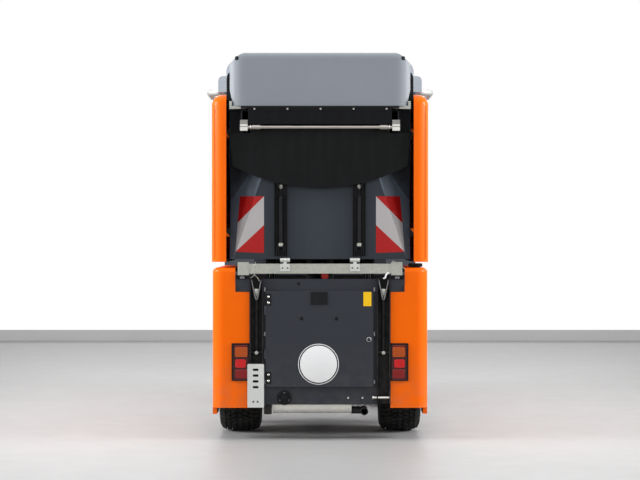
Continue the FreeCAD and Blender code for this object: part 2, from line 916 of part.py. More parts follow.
def lower_covers():
    """The orange panel from the rear face round to the wheel arch."""
    outer, wall = size.lower_cover_half_width, size.lower_cover_wall
    back, ahead = rear + size.lower_cover_from_rear, rear + size.lower_cover_front
    inner, inner_top = size.post_outer, size.lower_cover_inner_top
    plan = [(inner, back), (outer, back, size.lower_cover_corner), (outer, ahead), (inner, ahead)]
    shell = prism("LowerCover", "XY", plan, size.lower_cover_bottom, size.lower_cover_top)
    add_fillet(shell, size.lower_cover_wall, along("Y", lambda middle: middle.x > inner.number + OVER
                                                  and middle.z > size.lower_cover_step.number))
    hollow = [(inner - OVER, back + wall), (outer - wall, back + wall, size.lower_cover_corner - wall),
              (outer - wall, ahead + OVER), (inner - OVER, ahead + OVER)]
    add_pocket(shell, "XY", hollow, size.lower_cover_bottom - OVER, size.lower_cover_top - wall)
    add_pocket(shell, "XY", rectangle((inner - OVER, inner_top), (back - OVER, ahead + OVER)),
               size.lower_cover_step, size.lower_cover_top + OVER)
    skirt = box("Skirt", (outer - wall, outer), (back + size.lower_cover_corner, ahead),
                (size.skirt_bottom, size.lower_cover_bottom + OVER))
    lamp = box("LampOpening", (inner - OVER, size.lamp_outer + size.seat_gap),
               (back - OVER, back + wall + OVER),
               (size.lamp_bottom - size.seat_gap, size.lamp_top + size.seat_gap))
    arch = rod("RearArch", "X", size.tyre_radius + size.arch_gap, inner - OVER, outer + OVER,
               (rear_axle, size.tyre_radius))
    cover = cut("LowerCoverCut", fuse("LowerCoverParts", shell, skirt), lamp, arch)
    node("rear_side_covers", pair("LowerCovers", cover))


def tail_lamps():
    """A lamp block in each lower cover, held by a seat on the post."""
    lamp = prism("TailLamp", "XZ", rectangle((size.lamp_inner, size.lamp_outer),
                                             (size.lamp_bottom, size.lamp_top), size.lamp_round),
                 rear + size.lamp_from_rear, rear + size.lamp_depth)
    seat = box("LampSeat", (size.post_outer, size.lamp_inner + OVER),
               (rear + size.lamp_depth / 2, rear + size.lamp_depth),
               (size.lamp_bottom + size.lamp_seat_in, size.lamp_top - size.lamp_seat_in))
    node("tail_lamps", pair("TailLamps", fuse("TailLampParts", lamp, seat)))


KNUCKLES = 3


def hinge_beam():
    """The beam over the hatch with the fixed half of the hopper's two hinges."""
    half, back = size.beam_half_length, rear + size.beam_from_rear
    deep = back + size.beam_depth
    beam = box("Beam", (-half, half), (back, deep), (size.beam_bottom, size.beam_top))
    out = size.beam_block_out
    block = box("BeamBlock", (half - size.beam_block_width, half), (back - out, deep + out),
                (size.beam_bottom - size.beam_block_rise, size.beam_top + size.beam_block_rise))
    width, leaf_low = size.hinge_width / 2, size.beam_bottom + size.hinge_leaf_rise
    leaf = box("HingeLeaf", (size.hinge_x - width, size.hinge_x + width), (back - size.hinge_leaf, back),
               (leaf_low, size.beam_top))
    third = width / KNUCKLES
    neck = box("HingeNeck", (size.hinge_x - third, size.hinge_x + third), (back - size.hinge_leaf, back),
               (leaf_low, size.hinge_axis_height))
    knuckle = rod("HingeKnuckle", "X", size.hinge_knuckle_radius, size.hinge_x - third,
                  size.hinge_x + third, (hinge_axis_y, size.hinge_axis_height))
    pin = rod("HingePin", "X", size.hinge_pin_radius, size.hinge_x - width, size.hinge_x + width,
              (hinge_axis_y, size.hinge_axis_height))
    parts = [block, leaf, neck, knuckle, pin]
    node("hinge_beam", fuse("HingeBeam", beam, *(parts + [mirrored(part) for part in parts])))
    inner, outer, low = size.post_outer, size.bracket_outer, size.bracket_bottom
    high = size.beam_bottom - size.beam_block_rise
    outline = [(inner, low), (outer - size.bracket_slope_width, low),
               (outer, low + size.bracket_slope_height), (outer, high), (inner, high)]
    bracket = prism("BeamBracket", "XZ", outline, back, deep)
    node("beam_brackets", pair("BeamBrackets", bracket))


def engine_hatch():
    """The rear hatch with its latch plate, lock and two hinge knuckles."""
    back = rear + size.hatch_from_rear
    front_face = panel_back - size.seat_gap
    door = prism("Hatch", "XZ", rectangle((size.hatch_left, size.hatch_right),
                                          (size.hatch_bottom, size.hatch_top),
                                          size.hatch_round), back, front_face)
    latch = box("Latch", (size.latch_x - size.latch_half_width, size.latch_x + size.latch_half_width),
                (back - size.latch_depth, back), (size.latch_bottom, size.latch_top))
    lock = rod("Lock", "Y", size.lock_radius, back - size.latch_depth, back,
               (size.lock_x, size.lock_height))
    axis = (size.hatch_left - size.hatch_axis_out, back + size.hatch_axis_out)
    hinges = [rod("HatchKnuckle", "Z", size.hatch_knuckle_radius, height - size.hatch_knuckle_half,
                  height + size.hatch_knuckle_half, axis)
              for height in (size.hatch_hinge_low, size.hatch_hinge_high)]
    node("engine_hatch", fuse("EngineHatch", door, latch, lock, *hinges))


def hopper_plan(inset):
    """The hopper seen from above, with its front corners cut off at 45 degrees."""
    half, end = size.hopper_half_width - inset, module_front - inset
    slip = inset * SLIP
    nose = size.hopper_front_half - slip
    shoulder = module_front - size.hopper_half_width + size.hopper_front_half - slip
    return [(-half, hopper_rear + inset), (half, hopper_rear + inset), (half, shoulder),
            (nose, end), (-nose, end), (-half, shoulder)]


def half_space(name, point, normal):
    """A large block on the side of a plane that its normal points to."""
    block = doc.addObject("Part::Box", name)
    for prop in ("Length", "Width", "Height"):
        bind(block, prop, size.hopper_top)
    middle = -size.hopper_top.number / 2
    onto = FreeCAD.Placement(point, FreeCAD.Rotation(Vector(0, 0, 1), normal))
    block.Placement = onto.multiply(FreeCAD.Placement(Vector(middle, middle, 0), FreeCAD.Rotation()))
    return block


def facet_tool(name, inset):
    """The space outside the two planes at the hopper's rear corner, below their ledge.

    The facet turns forward from the crease, and a plane outside the second crease turns back."""
    crease = Vector(size.crease_high_x.number, hopper_rear.number, size.crease_high_z.number)
    slope = math.tan(math.radians(size.crease_turn.number))
    crease_rise = size.crease_high_z - size.hopper_bottom
    lean = (size.crease_low_x - size.crease_high_x).number / crease_rise.number
    facet = Vector(slope, -1, slope * lean)

    def depth(x, z):
        return crease.y + slope * (x - crease.x + lean * (z - crease.z))

    high = Vector(size.outer_crease_high_x.number, 0, size.outer_crease_high_z.number)
    low = Vector(size.hopper_half_width.number, 0, size.outer_crease_low_z.number)
    high.y, low.y = depth(high.x, high.z), depth(low.x, low.z)
    line = low - high
    flat = math.hypot(line.x, line.z)
    outward = math.tan(math.radians(size.outer_turn.number))
    rise, run = line.y / flat, Vector(line.x / flat, 0, line.z / flat)
    outer = Vector(run.x * rise - run.z * outward, -1, run.z * rise + run.x * outward)
    planes = [half_space(name + "Facet", crease - facet.normalize() * inset.number, facet.normalize()),
              half_space(name + "Outer", high - outer.normalize() * inset.number, outer.normalize())]
    slab = box(name + "Slab", (0, size.hopper_top), (rear * 2, rear + size.hopper_top),
               (0, size.crease_top + inset))
    return common(name, common(name + "Planes", *planes), slab)


def hopper_form(name, inset, low, high):
    """The hopper's faceted form, brought in by the inset."""
    block = prism(name, "XY", hopper_plan(inset), low, high)
    tool = facet_tool(name + "Facet", inset)
    return cut(name + "Cut", block, tool, mirrored(tool))


def hopper_hinge():
    """The moving leaf under the hopper with its two bored knuckles."""
    width = size.hinge_width / 2
    third = width / KNUCKLES + size.knuckle_gap
    deep, floor = hopper_rear + size.hinge_width, size.hopper_bottom
    clear = hinge_axis_y + size.hinge_knuckle_radius + size.hinge_leaf_room
    plate = box("LeafPlate", (size.hinge_x - width, size.hinge_x + width), (clear, deep),
                (floor - size.hinge_leaf, floor + OVER))
    parts = [plate]
    for name, low, high in (("Inner", size.hinge_x - width, size.hinge_x - third),
                            ("Outer", size.hinge_x + third, size.hinge_x + width)):
        parts.append(box("Leaf" + name, (low, high), (hinge_axis_y, clear + OVER),
                         (floor - size.hinge_leaf, floor)))
        parts.append(rod("Knuckle" + name, "X", size.hinge_knuckle_radius, low, high,
                         (hinge_axis_y, size.hinge_axis_height)))
    bore = rod("KnuckleBore", "X", size.hinge_pin_radius + size.pin_fit, size.hinge_x - width - OVER,
               size.hinge_x + width + OVER, (hinge_axis_y, size.hinge_axis_height))
    return cut("MovingLeaf", fuse("MovingLeafParts", *parts), bore)


def tilt_lugs():
    """Two cheeks under the hopper floor with the cylinder's eye between them."""
    inner = size.tilt_eye_width / 2 + size.running_gap
    y, half = tilt_high[0], size.tilt_lug_length / 2
    low = size.tilt_high_height - size.tilt_eye_radius
    return [box(name, (near, near + size.tilt_lug_thickness), (y - half, y + half),
                (low, size.hopper_bottom + OVER))
            for name, near in (("LugInner", size.tilt_x - inner - size.tilt_lug_thickness),
                               ("LugOuter", size.tilt_x + inner))]


def hopper_shell():
    """The hollow hopper with its outlet, header, hinge leaves and cylinder lugs."""
    wall = size.hopper_wall
    outer = hopper_form("HopperOuter", no_inset, size.hopper_bottom, size.hopper_top)
    inner = hopper_form("HopperInner", wall, hopper_floor, size.hopper_top - wall)
    outlet = box("Outlet", (-size.outlet_half_width, size.outlet_half_width),
                 (hopper_rear - OVER, hopper_rear + wall + OVER), (size.outlet_bottom, size.outlet_top))
    header = box("Header", (-size.header_half_width, size.header_half_width),
                 (rear + size.seal_from_rear + size.seal_thickness, hopper_rear + OVER),
                 (size.hopper_top - size.header_height, size.hopper_top))
    parts = [hopper_hinge()] + tilt_lugs()
    joined = fuse("HopperParts", outer, header, *(parts + [mirrored(part) for part in parts]))
    node("hopper_shell", cut("HopperShell", joined, inner, outlet))


def hopper_covers():
    """The orange trays on the hopper's sides, on two rails each."""
    inner, outer = size.upper_cover_inner, size.upper_cover_half_width
    back, ahead = rear + size.upper_cover_from_rear, rear + size.upper_cover_front
    low, high, wall = size.upper_cover_bottom, size.upper_cover_top, size.upper_cover_wall
    corner = size.upper_cover_corner
    plan = [(inner, back), (outer, back, corner), (outer, ahead), (inner, ahead)]
    tray = prism("UpperCover", "XY", plan, low, high)
    add_fillet(tray, corner - size.upper_cover_sharper,
               along("Y", lambda middle: middle.z > high.number - OVER and middle.x > outer.number - OVER))
    add_pocket(tray, "YZ", rectangle((back + wall, ahead - wall), (low + wall, high - corner)),
               inner - OVER, outer - wall)
    rails = [box("CoverRail", (size.hopper_half_width, inner + wall),
                 (hopper_rear + size.running_gap, ahead - wall),
                 (height, height + size.cover_rail_height))
             for height in (size.cover_rail_low, size.cover_rail_high)]
    node("hopper_side_covers", pair("UpperCovers", fuse("UpperCoverParts", tray, *rails)))


def cap_plan(inset):
    """The cap seen from above: round rear corners, and front corners cut off like the hopper's."""
    half, corner = size.cap_half_width - inset, size.cap_corner - inset
    back = rear + size.cap_from_rear + inset
    slip = inset * SLIP
    shoulder = module_front - size.cap_half_width + size.cap_front_half - slip
    nose, end = size.cap_front_half - slip, module_front - inset
    return [(-half, back, corner), (half, back, corner), (half, shoulder), (nose, end), (-nose, end),
            (-half, shoulder)]


def hopper_cap():
    """The grey lid: widest below its round shoulders, drawn in towards its foot, open below."""
    low, high = size.hopper_top, cap_top
    lid = prism("Cap", "XY", cap_plan(no_inset), low, high)
    top = high.number
    add_fillet(lid, size.cap_edge, lambda edge: abs(edge.CenterOfMass.z - top) < CLOSE)
    foot, wide = size.cap_low_half_width, size.cap_half_width
    add_pocket(lid, "XY", cap_plan(wide - foot + size.cap_wall), low - OVER, high - size.cap_roof)
    half = [(foot, low), (foot, low + size.cap_waist_rise),
            (wide, high - size.cap_shoulder_drop, size.cap_shoulder_round),
            (wide - size.cap_shoulder_in, high + OVER, size.cap_top_round)]
    outline = half + [(corner[0] * -1,) + corner[1:] for corner in reversed(half)]
    profile = prism("CapProfile", "XZ", outline, rear, module_front + OVER)
    node("hopper_cap", common("CapShaped", lid, profile))


def strut_channels():
    """The channels on the hopper's rear that hold the feet of the flap's struts."""
    middle, half, wall = size.channel_x, size.channel_width / 2, size.channel_wall
    back = hopper_rear - size.channel_depth
    base = hopper_rear - wall
    outline = [(middle - half, back), (middle - half + wall, back), (middle - half + wall, base),
               (middle + half - wall, base), (middle + half - wall, back), (middle + half, back),
               (middle + half, hopper_rear), (middle - half, hopper_rear)]
    channel = prism("Channel", "XY", outline, size.channel_bottom, size.channel_top)
    ear_in = size.strut_eye_width / 2 + size.strut_ear_gap
    ear_out = ear_in + size.strut_ear
    ears = [box("Ear", (middle + near, middle + far), (strut_y - size.strut_ball_radius, base + OVER),
                (size.channel_bottom, size.strut_low + size.strut_ball_radius))
            for near, far in ((-ear_out, -ear_in), (ear_in, ear_out))]
    pin = rod("StrutPin", "X", size.strut_pin_radius, middle - ear_out, middle + ear_out,
              (strut_y, size.strut_low))
    node("strut_channels", pair("Channels", fuse("ChannelParts", channel, pin, *ears)))


def flap_bar():
    """The stainless rod that the flap hangs from, with a block at each end."""
    half = size.bar_half_length
    bar = rod("Bar", "X", size.bar_radius, -half - OVER, half + OVER, (bar_y, bar_height))
    low = bar_height - size.bar_block_drop
    block = box("BarBlock", (half, half + size.bar_block_width), (rear, hopper_rear),
                (low, low + size.bar_block_height))
    node("flap_bar", fuse("FlapBar", bar, block, mirrored(block)))


def flap_seal():
    """The strip of sheet that closes the gap above the flap."""
    half = size.seal_half_width
    back, low = rear + size.seal_from_rear, bar_height + size.seal_above_bar
    node("flap_seal", box("Seal", (-half, half), (back, back + size.seal_thickness - size.seat_gap),
                          (low, low + size.seal_height)))


def bar_sleeve(x):
    """A sleeve of the flap round its rod, with the tab that joins it to the sheet."""
    half, thick = size.bar_sleeve_length / 2, size.bar_sleeve_radius / 2
    centre = (bar_y, bar_height)
    tube = rod("Sleeve", "X", size.bar_sleeve_radius, x - half, x + half, centre)
    tab = box("SleeveTab", (x - half, x + half), (bar_y, rear + size.flap_from_rear + size.bar_sleeve_tab),
              (bar_height - thick, bar_height + thick))
    bore = rod("SleeveBore", "X", size.bar_radius + size.pin_fit, x - half - OVER, x + half + OVER, centre)
    return cut("SleeveCut", fuse("SleeveParts", tube, tab), bore)


def rear_flap():
    """The black apron: a slightly curved sheet with a round lower edge, hung by sleeves."""
    back, half, neck = rear + size.flap_from_rear, size.flap_half_width, size.flap_neck_half_width
    bow = (half * half + size.flap_sag * size.flap_sag) / (size.flap_sag * 2)
    high = bar_height + size.flap_above_bar
    near = high - size.flap_neck_height
    corner = near - size.flap_side_height
    tip = corner - size.flap_round_height
    low = tip - size.flap_thickness
    outside = rod("FlapOutside", "Z", bow, low, high, (0, back + bow))
    inside = rod("FlapInside", "Z", bow - size.flap_thickness, low - OVER, high + OVER, (0, back + bow))
    foot = size.flap_bottom_half_width
    outline = [(-foot, low), (foot, low), (foot, corner), (half, near), (neck, near), (neck, high),
               (-neck, high), (-neck, near), (-half, near), (-foot, corner)]
    cutter = prism("FlapOutline", "XZ", outline, rear, hopper_rear)
    round_edge = rod("FlapRound", "Y", size.flap_arc_radius, rear, hopper_rear,
                     (0, tip + size.flap_arc_radius))
    trimmed = common("FlapTrimmed", cut("FlapSkin", outside, inside), cutter)
    sheet = common("FlapSheet", trimmed, round_edge)
    sleeves = [bar_sleeve(x) for x in (-size.bar_sleeve_x, size.bar_sleeve_x)]
    lug_x = size.channel_x + size.strut_ball_radius + size.running_gap
    lug = box("FlapLug", (lug_x, lug_x + size.flap_lug_width),
              (back + size.flap_thickness / 2, strut_y + size.strut_ball_radius),
              (size.strut_high - size.flap_lug_below, size.strut_high + size.flap_lug_above))
    node("rear_flap", fuse("RearFlap", sheet, lug, mirrored(lug), *sleeves))


def flap_struts():
    """A gas strut on each side: a bored barrel below and a rod with a ball above."""
    x, low, high = size.channel_x, size.strut_low, size.strut_high
    eye = rod("StrutEye", "X", size.strut_eye_radius, x - size.strut_eye_width / 2,
              x + size.strut_eye_width / 2, (strut_y, low))
    neck = rod("StrutNeck", "Z", size.strut_neck_radius, low, low + size.strut_neck + OVER,
               (x, strut_y))
    barrel = rod("StrutBarrel", "Z", size.strut_barrel_radius, low + size.strut_neck,
                 low + size.strut_barrel_length, (x, strut_y))
    start = low + size.strut_rod_start
    bore = rod("StrutBore", "Z", size.strut_rod_radius + size.pin_fit, start - size.strut_bore_room,
               low + size.strut_barrel_length + OVER, (x, strut_y))
    pin_bore = rod("StrutPinBore", "X", size.strut_pin_radius + size.pin_fit, x - size.strut_eye_width,
                   x + size.strut_eye_width, (strut_y, low))
    tube = cut("StrutBarrelCut", fuse("StrutBarrelParts", eye, neck, barrel), bore, pin_bore)
    node("strut_barrels", pair("StrutBarrels", tube))
    stem = rod("StrutRod", "Z", size.strut_rod_radius, start, high, (x, strut_y))
    ball = doc.addObject("Part::Sphere", "StrutBall")
    bind(ball, "Radius", size.strut_ball_radius)
    place(ball, x, strut_y, high)
    node("strut_rods", pair("StrutRods", fuse("StrutRodParts", stem, ball)))


def tilt_cylinders():
    """The two cylinders that tip the hopper, each a bored barrel and its rod."""
    x, half = size.tilt_x, size.tilt_eye_width / 2
    eye = rod("TiltEye", "X", size.tilt_barrel_radius, x - half, x + half, tilt_low)
    barrel = slanted_rod("TiltBarrel", size.tilt_barrel_radius, x, tilt_low, tilt_high,
                         0, size.tilt_barrel_length)
    bore = slanted_rod("TiltBore", size.tilt_rod_radius + size.pin_fit, x, tilt_low, tilt_high,
                       size.tilt_rod_start - size.tilt_bore_room)
    reach = size.tilt_barrel_radius + OVER
    pin_bore = rod("TiltPinBore", "X", size.tilt_pin_radius + size.pin_fit, x - reach, x + reach, tilt_low)
    tube = cut("TiltBarrelCut", fuse("TiltBarrelParts", eye, barrel), bore, pin_bore)
    node("tilt_barrels", pair("TiltBarrels", tube))
    stem = slanted_rod("TiltRod", size.tilt_rod_radius, x, tilt_low, tilt_high, size.tilt_rod_start)
    head = rod("TiltHead", "X", size.tilt_eye_radius, x - half, x + half, tilt_high)
    node("tilt_rods", pair("TiltRods", fuse("TiltRodParts", stem, head)))


def wheel(place_name, side, y):
    """A tyre and its rim; side is 1 on the right and -1 on the left."""
    half, radius = size.tyre_width / 2 * side, size.tyre_radius
    bead, tread = size.rim_width / 2 * side, (size.tyre_width / 2 - size.tyre_shoulder) * side
    sidewall_low = size.rim_radius + size.bead_rise
    sidewall_high = radius - size.tyre_shoulder
    bend = size.tyre_wall_round
    outline = [(-bead, size.rim_radius), (bead, size.rim_radius), (half, sidewall_low, bend),
               (half, sidewall_high, bend), (tread, radius - size.tyre_crown), (0, radius),
               (-tread, radius - size.tyre_crown), (-half, sidewall_high, bend), (-half, sidewall_low, bend)]
    tyre = turned("Tyre" + place_name, "X", outline)
    node("tyre_" + place_name, place(tyre, half_track * side, y, radius))
    hub_in = (axle_end + size.running_gap - half_track) * side
    hub_stop = (axle_end + size.stub_length + size.running_gap - half_track) * side
    bore, well = size.stub_radius + size.pin_fit, size.rim_radius - size.rim_wall
    disc_in = (size.rim_dish - size.rim_disc / 2) * side
    disc_out = (size.rim_dish + size.rim_disc / 2) * side
    cap = disc_out + size.hub_cap * side
    profile = [(hub_in, bore), (hub_in, size.hub_radius), (disc_in, size.hub_radius), (disc_in, well),
               (-bead, well), (-bead, size.rim_radius), (bead, size.rim_radius), (bead, well),
               (disc_out, well), (disc_out, size.hub_radius), (cap, size.hub_radius - size.hub_cap_chamfer),
               (cap, 0), (hub_stop, 0), (hub_stop, bore)]
    rim = turned("Rim" + place_name, "X", profile)
    node("rim_" + place_name, place(rim, half_track * side, y, radius))


fork_gap_low = size.fork_bottom + size.fork_plate + size.running_gap / 2
fork_gap_high = size.fork_top - size.running_gap / 2
cab_foot_floor = rail_top + size.seat_gap
mouth_top = size.mouth_clearance + size.mouth_height
duct_height = (size.hopper_bottom - size.hoop_beam_height - size.pipe_radius
               - size.seat_gap - size.seat_gap)
brush_y = pivot + size.brush_ahead
lift_y = station.lift_pivot_y + size.lift_reach
steering_hub = (station.steering_y, size.steering_height)
door_waist = size.belt_height - size.waist_drop
column_foot = (station.dash_back + size.column_ahead, size.dash_top - size.column_drop)
brush_plate_top = size.brush_plate_height + size.brush_plate_thickness


def bent_tube(name, plane, offset, route, start_plane, start, radius):
    """A round tube along a route of corners (u, v, bend); start is the centre of its first end."""
    body = new_body(name)
    path = new_sketch(body, plane, offset)
    points = [Vector(as_value(u).number, as_value(v).number, 0) for u, v, _ in route]
    joints = []
    for index in range(1, len(route) - 1):
        before = (points[index - 1] - points[index]).normalize()
        after = (points[index + 1] - points[index]).normalize()
        back = as_value(route[index][2]).number / math.tan(before.getAngle(after) / 2)
        joints.append((points[index] + before * back, points[index] + after * back))
    starts = [points[0]] + [after for _, after in joints]
    ends = [before for before, _ in joints] + [points[-1]]
    lines = [path.addGeometry(Part.LineSegment(a, b)) for a, b in zip(starts, ends)]
    pin_point(path, lines[0], 1, route[0][0], route[0][1])
    pin_point(path, lines[-1], 2, route[-1][0], route[-1][1])
    for index, (arc_start, arc_end) in enumerate(joints):
        u, v, bend = route[index + 1]
        corner = (points[index + 1], as_value(u), as_value(v), as_value(bend))
        round_corner(path, lines[index], lines[index + 1], corner, arc_start, arc_end)
    profile = new_sketch(body, start_plane, start[2])
    circle = Part.Circle(Vector(as_value(start[0]).number, as_value(start[1]).number, 0),
                         Vector(0, 0, 1), as_value(radius).number)
    ring = profile.addGeometry(circle)
    pin_point(profile, ring, 3, start[0], start[1])
    number = profile.addConstraint(Sketcher.Constraint("Radius", ring, as_value(radius).number))
    bind(profile, "Constraints[%d]" % number, radius)
    sweep = body.newObject("PartDesign::AdditivePipe", name + "Sweep")
    sweep.Profile = profile
    sweep.Spine = (path, [])
    return body


def tow_eye():
    """A level eye ahead of the nose beam, bored for a shackle's pin."""
    base, x, reach = station.front_rail_front, size.tow_eye_x, size.tow_eye_radius
    tip, bend = base + size.tow_eye_reach + reach, reach - size.seat_gap
    outline = [(x - reach, base - OVER), (x + reach, base - OVER),
               (x + reach, tip, bend), (x - reach, tip, bend)]
    low = size.rail_bottom + size.tow_eye_above_rail
    high = low + size.tow_eye_thickness
    plate = prism("TowEye", "XY", outline, low, high)
    bore = rod("TowBore", "Z", size.tow_eye_bore, low - OVER, high + OVER, (x, tip - reach))
    return cut("TowEyeBored", plate, bore)


def front_frame():
    """The front rails with the pivot's boss and pin, cab mounts, lift stubs and towing eyes."""
    back = station.cab_rear + size.hoop_depth / 2
    ahead = station.front_rail_front
    rail = box("FrontRail", (size.rail_inner, rail_outer), (back, ahead), (size.rail_bottom, rail_top))
    cross = box("FrontCross", (-rail_outer, rail_outer), (back, back + size.hoop_depth),
                (size.rail_bottom, rail_top))
    nose = box("NoseCross", (-rail_outer, rail_outer), (ahead - size.hoop_depth / 2, ahead),
               (size.rail_bottom, rail_top))
    boss = rod("PivotBoss", "Z", size.pivot_boss_radius, fork_gap_low, fork_gap_high, (0, pivot))
    arm = box("PivotArm", (-size.lug_half_width, size.lug_half_width), (pivot, back + size.hoop_depth),
              (fork_gap_low + size.lug_margin, fork_gap_high - size.lug_margin))
    pin = rod("PivotPin", "Z", size.pivot_pin_radius, size.fork_bottom - size.pin_end,
              fork_roof + size.pin_end, (0, pivot))
    mounts = [box("CabMount", (size.rail_inner, rail_outer), (y, y + size.hoop_depth),
                  (rail_top, size.cab_floor - size.seat_gap))
              for y in (station.cab_mount_y, station.cab_foot_back - size.hoop_depth * 2)]
    stub = rod("LiftStub", "X", size.lift_pin_radius, rail_outer - OVER,
               rail_outer + size.running_gap + size.lift_arm_width, (station.lift_pivot_y, lift_height))
    hanger_y = station.pipe_mouth + size.mouth_hanger_start
    hanger = box("MouthHanger", (size.rail_inner, size.rail_inner + size.mouth_hanger_width),
                 (hanger_y, hanger_y + size.mouth_hanger_length), (mouth_top, size.rail_bottom + OVER))
    parts = [rail, stub, hanger, tow_eye()] + mounts
    node("front_frame", fuse("FrontFrame", cross, nose, boss, arm, pin,
                             *(parts + [mirrored(part) for part in parts])))


def suction_line():
    """The pipe on the front frame, the bellows over the pivot and the duct to the hopper."""
    route = [(station.pipe_mouth, mouth_top, 0), (station.pipe_mouth, size.pipe_mouth_height, size.pipe_bend),
             (station.pipe_turn_down, size.pipe_height, size.pipe_bend_down),
             (station.pipe_turn_up, size.pipe_height, size.pipe_bend_up),
             (station.pipe_end, size.pipe_end_height, 0)]
    node("suction_pipe", bent_tube("SuctionPipe", "YZ", 0, route, "XY", (0, station.pipe_mouth, mouth_top),
                                   size.pipe_radius))
    rise = duct_height - size.pipe_end_height
    lean = (station.pipe_turn_up - station.pipe_end) / (size.pipe_end_height - size.pipe_height)
    route = [(station.duct_front + size.seat_gap, duct_height, 0),
             (station.pipe_end - rise * lean, duct_height, size.bellows_bend),
             (station.pipe_end - lean * size.seat_gap, size.pipe_end_height + size.seat_gap, 0)]
    node("suction_bellows", bent_tube("SuctionBellows", "YZ", 0, route, "XZ",
                                      (0, duct_height, station.duct_front + size.seat_gap), size.pipe_radius))
    route = [(station.duct_front, duct_height, 0), (station.duct_back, duct_height, size.duct_bend),
             (station.duct_back, size.hopper_bottom - size.seat_gap, 0)]
    node("inlet_duct", bent_tube("InletDuct", "YZ", 0, route, "XZ", (0, duct_height, station.duct_front),
                                 size.pipe_radius))


def suction_mouth():
    """The open box behind the brushes that the sweepings are drawn into."""
    half, back, wall = size.mouth_half_width, station.mouth_back, size.mouth_wall
    ahead = back + size.mouth_length
    bend = size.mouth_round
    shell = prism("Mouth", "XY", rectangle((-half, half), (back, ahead), bend), size.mouth_clearance,
                  mouth_top)
    add_pocket(shell, "XY", rectangle((wall - half, half - wall), (back + wall, ahead - wall), bend - wall),
               size.mouth_clearance - OVER, mouth_top - wall)
    node("suction_mouth", shell)


def lift_frame():
    """The frame that lifts both brushes: two arms, a cross tube and the brush arms' pins."""
    near = rail_outer + size.running_gap
    far = near + size.lift_arm_width
    y, half = station.lift_pivot_y, size.lift_arm_height / 2
    arm = box("LiftArm", (near, far), (y - half, lift_y), (lift_height - half, lift_height + half))
    bore = rod("LiftBore", "X", size.lift_pin_radius + size.pin_fit, near - OVER, far + OVER,
               (y, lift_height))
    tube = rod("LiftTube", "X", size.lift_tube_radius, -size.lift_bar_half, size.lift_bar_half,
               (lift_y, lift_height))
    boss = rod("ArmBoss", "Z", size.arm_boss_radius, lift_height - size.lift_tube_radius,
               arm_low - size.running_gap / 2, (size.arm_pivot_x, station.arm_pivot_y))
    pin = rod("ArmPin", "Z", size.lift_pin_radius, lift_height, arm_low + size.arm_thickness + size.pin_end,
              (size.arm_pivot_x, station.arm_pivot_y))
    parts = [arm, boss, pin]
    joined = fuse("LiftParts", tube, *(parts + [mirrored(part) for part in parts]))
    node("lift_frame", cut("LiftFrame", joined, bore, mirrored(bore)))


def brush_arm(name, side):
    """A flat arm from its pin on the lift frame to the brush's motor."""
    low, high, half = arm_low, arm_low + size.arm_thickness, size.arm_width / 2
    x, y = size.arm_pivot_x * side, station.arm_pivot_y
    end = size.brush_x * side
    outline = [(x - half, y), (x + half, y), (end + half, brush_y), (end - half, brush_y)]
    plate = prism("ArmPlate" + name, "XY", outline, low, high)
    boss = rod("ArmEye" + name, "Z", size.arm_boss_radius, low, high, (x, y))
    motor = rod("BrushMotor" + name, "Z", size.brush_motor_radius, brush_plate_top + size.running_gap,
                high + size.brush_motor_height / 2, (end, brush_y))
    bore = rod("ArmBore" + name, "Z", size.lift_pin_radius + size.pin_fit, low - OVER, high + OVER, (x, y))
    shaft = rod("ShaftBore" + name, "Z", size.spindle_radius + size.pin_fit, brush_plate_top, low,
                (end, brush_y))
    joined = fuse("ArmParts" + name, plate, boss, motor)
    node("brush_arm_" + name, cut("BrushArm" + name, joined, bore, shaft))


def brush(name, side):
    """A dished disc brush with its spindle, seen in section from its axis outward."""
    top, plate = brush_plate_top, size.brush_plate_height
    spindle_top = arm_low - size.running_gap
    outline = [(0, spindle_top), (size.spindle_radius, spindle_top), (size.spindle_radius, top),
               (size.brush_plate_radius, top), (size.brush_plate_radius, plate),
               (size.brush_radius, size.brush_floor_gap), (size.bristle_inner_tip, size.brush_floor_gap),
               (size.bristle_inner_top, plate - size.bristle_root), (0, plate - size.bristle_root)]
    disc = turned("Brush" + name, "Z", outline[::-1])
    node("brush_" + name, place(disc, size.brush_x * side, brush_y, 0))


def cab_profile(inset):
    """The cab's outline from the side: seat platform, floor, footwell, nose, screen and roof."""
    back, floor = station.cab_rear + inset, size.cab_floor + inset
    return [(back, size.cab_seat_floor + inset), (station.cab_seat_step + inset, size.cab_seat_floor + inset),
            (station.cab_seat_step + inset, floor), (station.cab_foot_back + inset, floor),
            (station.cab_foot_back + inset, cab_foot_floor + inset),
            (station.cab_front_low - inset, cab_foot_floor + inset),
            (station.cab_front_belt - inset, size.belt_height),
            (station.cab_front_top - inset, size.cab_top - inset), (back, size.cab_top - inset)]


def rear_corner(name, inset):
    """The corner that the cab loses behind, so that it clears the hopper in a turn."""
    near, far = size.cab_rear_half - inset * SLIP, size.cab_half_width + OVER
    back = station.cab_rear + inset
    return prism(name, "XY", [(near, back - OVER), (far, back - OVER), (far, back + far - near)],
                 size.cab_floor, size.cab_top + OVER)


def door_outline(inset):
    """The door opening, or the door itself when brought in by a gap, twice as wide behind its foot."""
    foot_back, bend = station.door_foot_back + inset + inset, size.door_round
    return [(station.door_back + inset, size.door_bottom + inset),
            (foot_back, size.door_bottom + inset, bend),
            (foot_back, size.door_foot_bottom + inset, bend),
            (station.door_front - inset, size.door_foot_bottom + inset, bend),
            (station.door_front - inset, size.belt_height),
            (station.door_front_top - inset, size.door_top - inset, bend),
            (station.door_back + inset, size.door_top - inset, bend)]


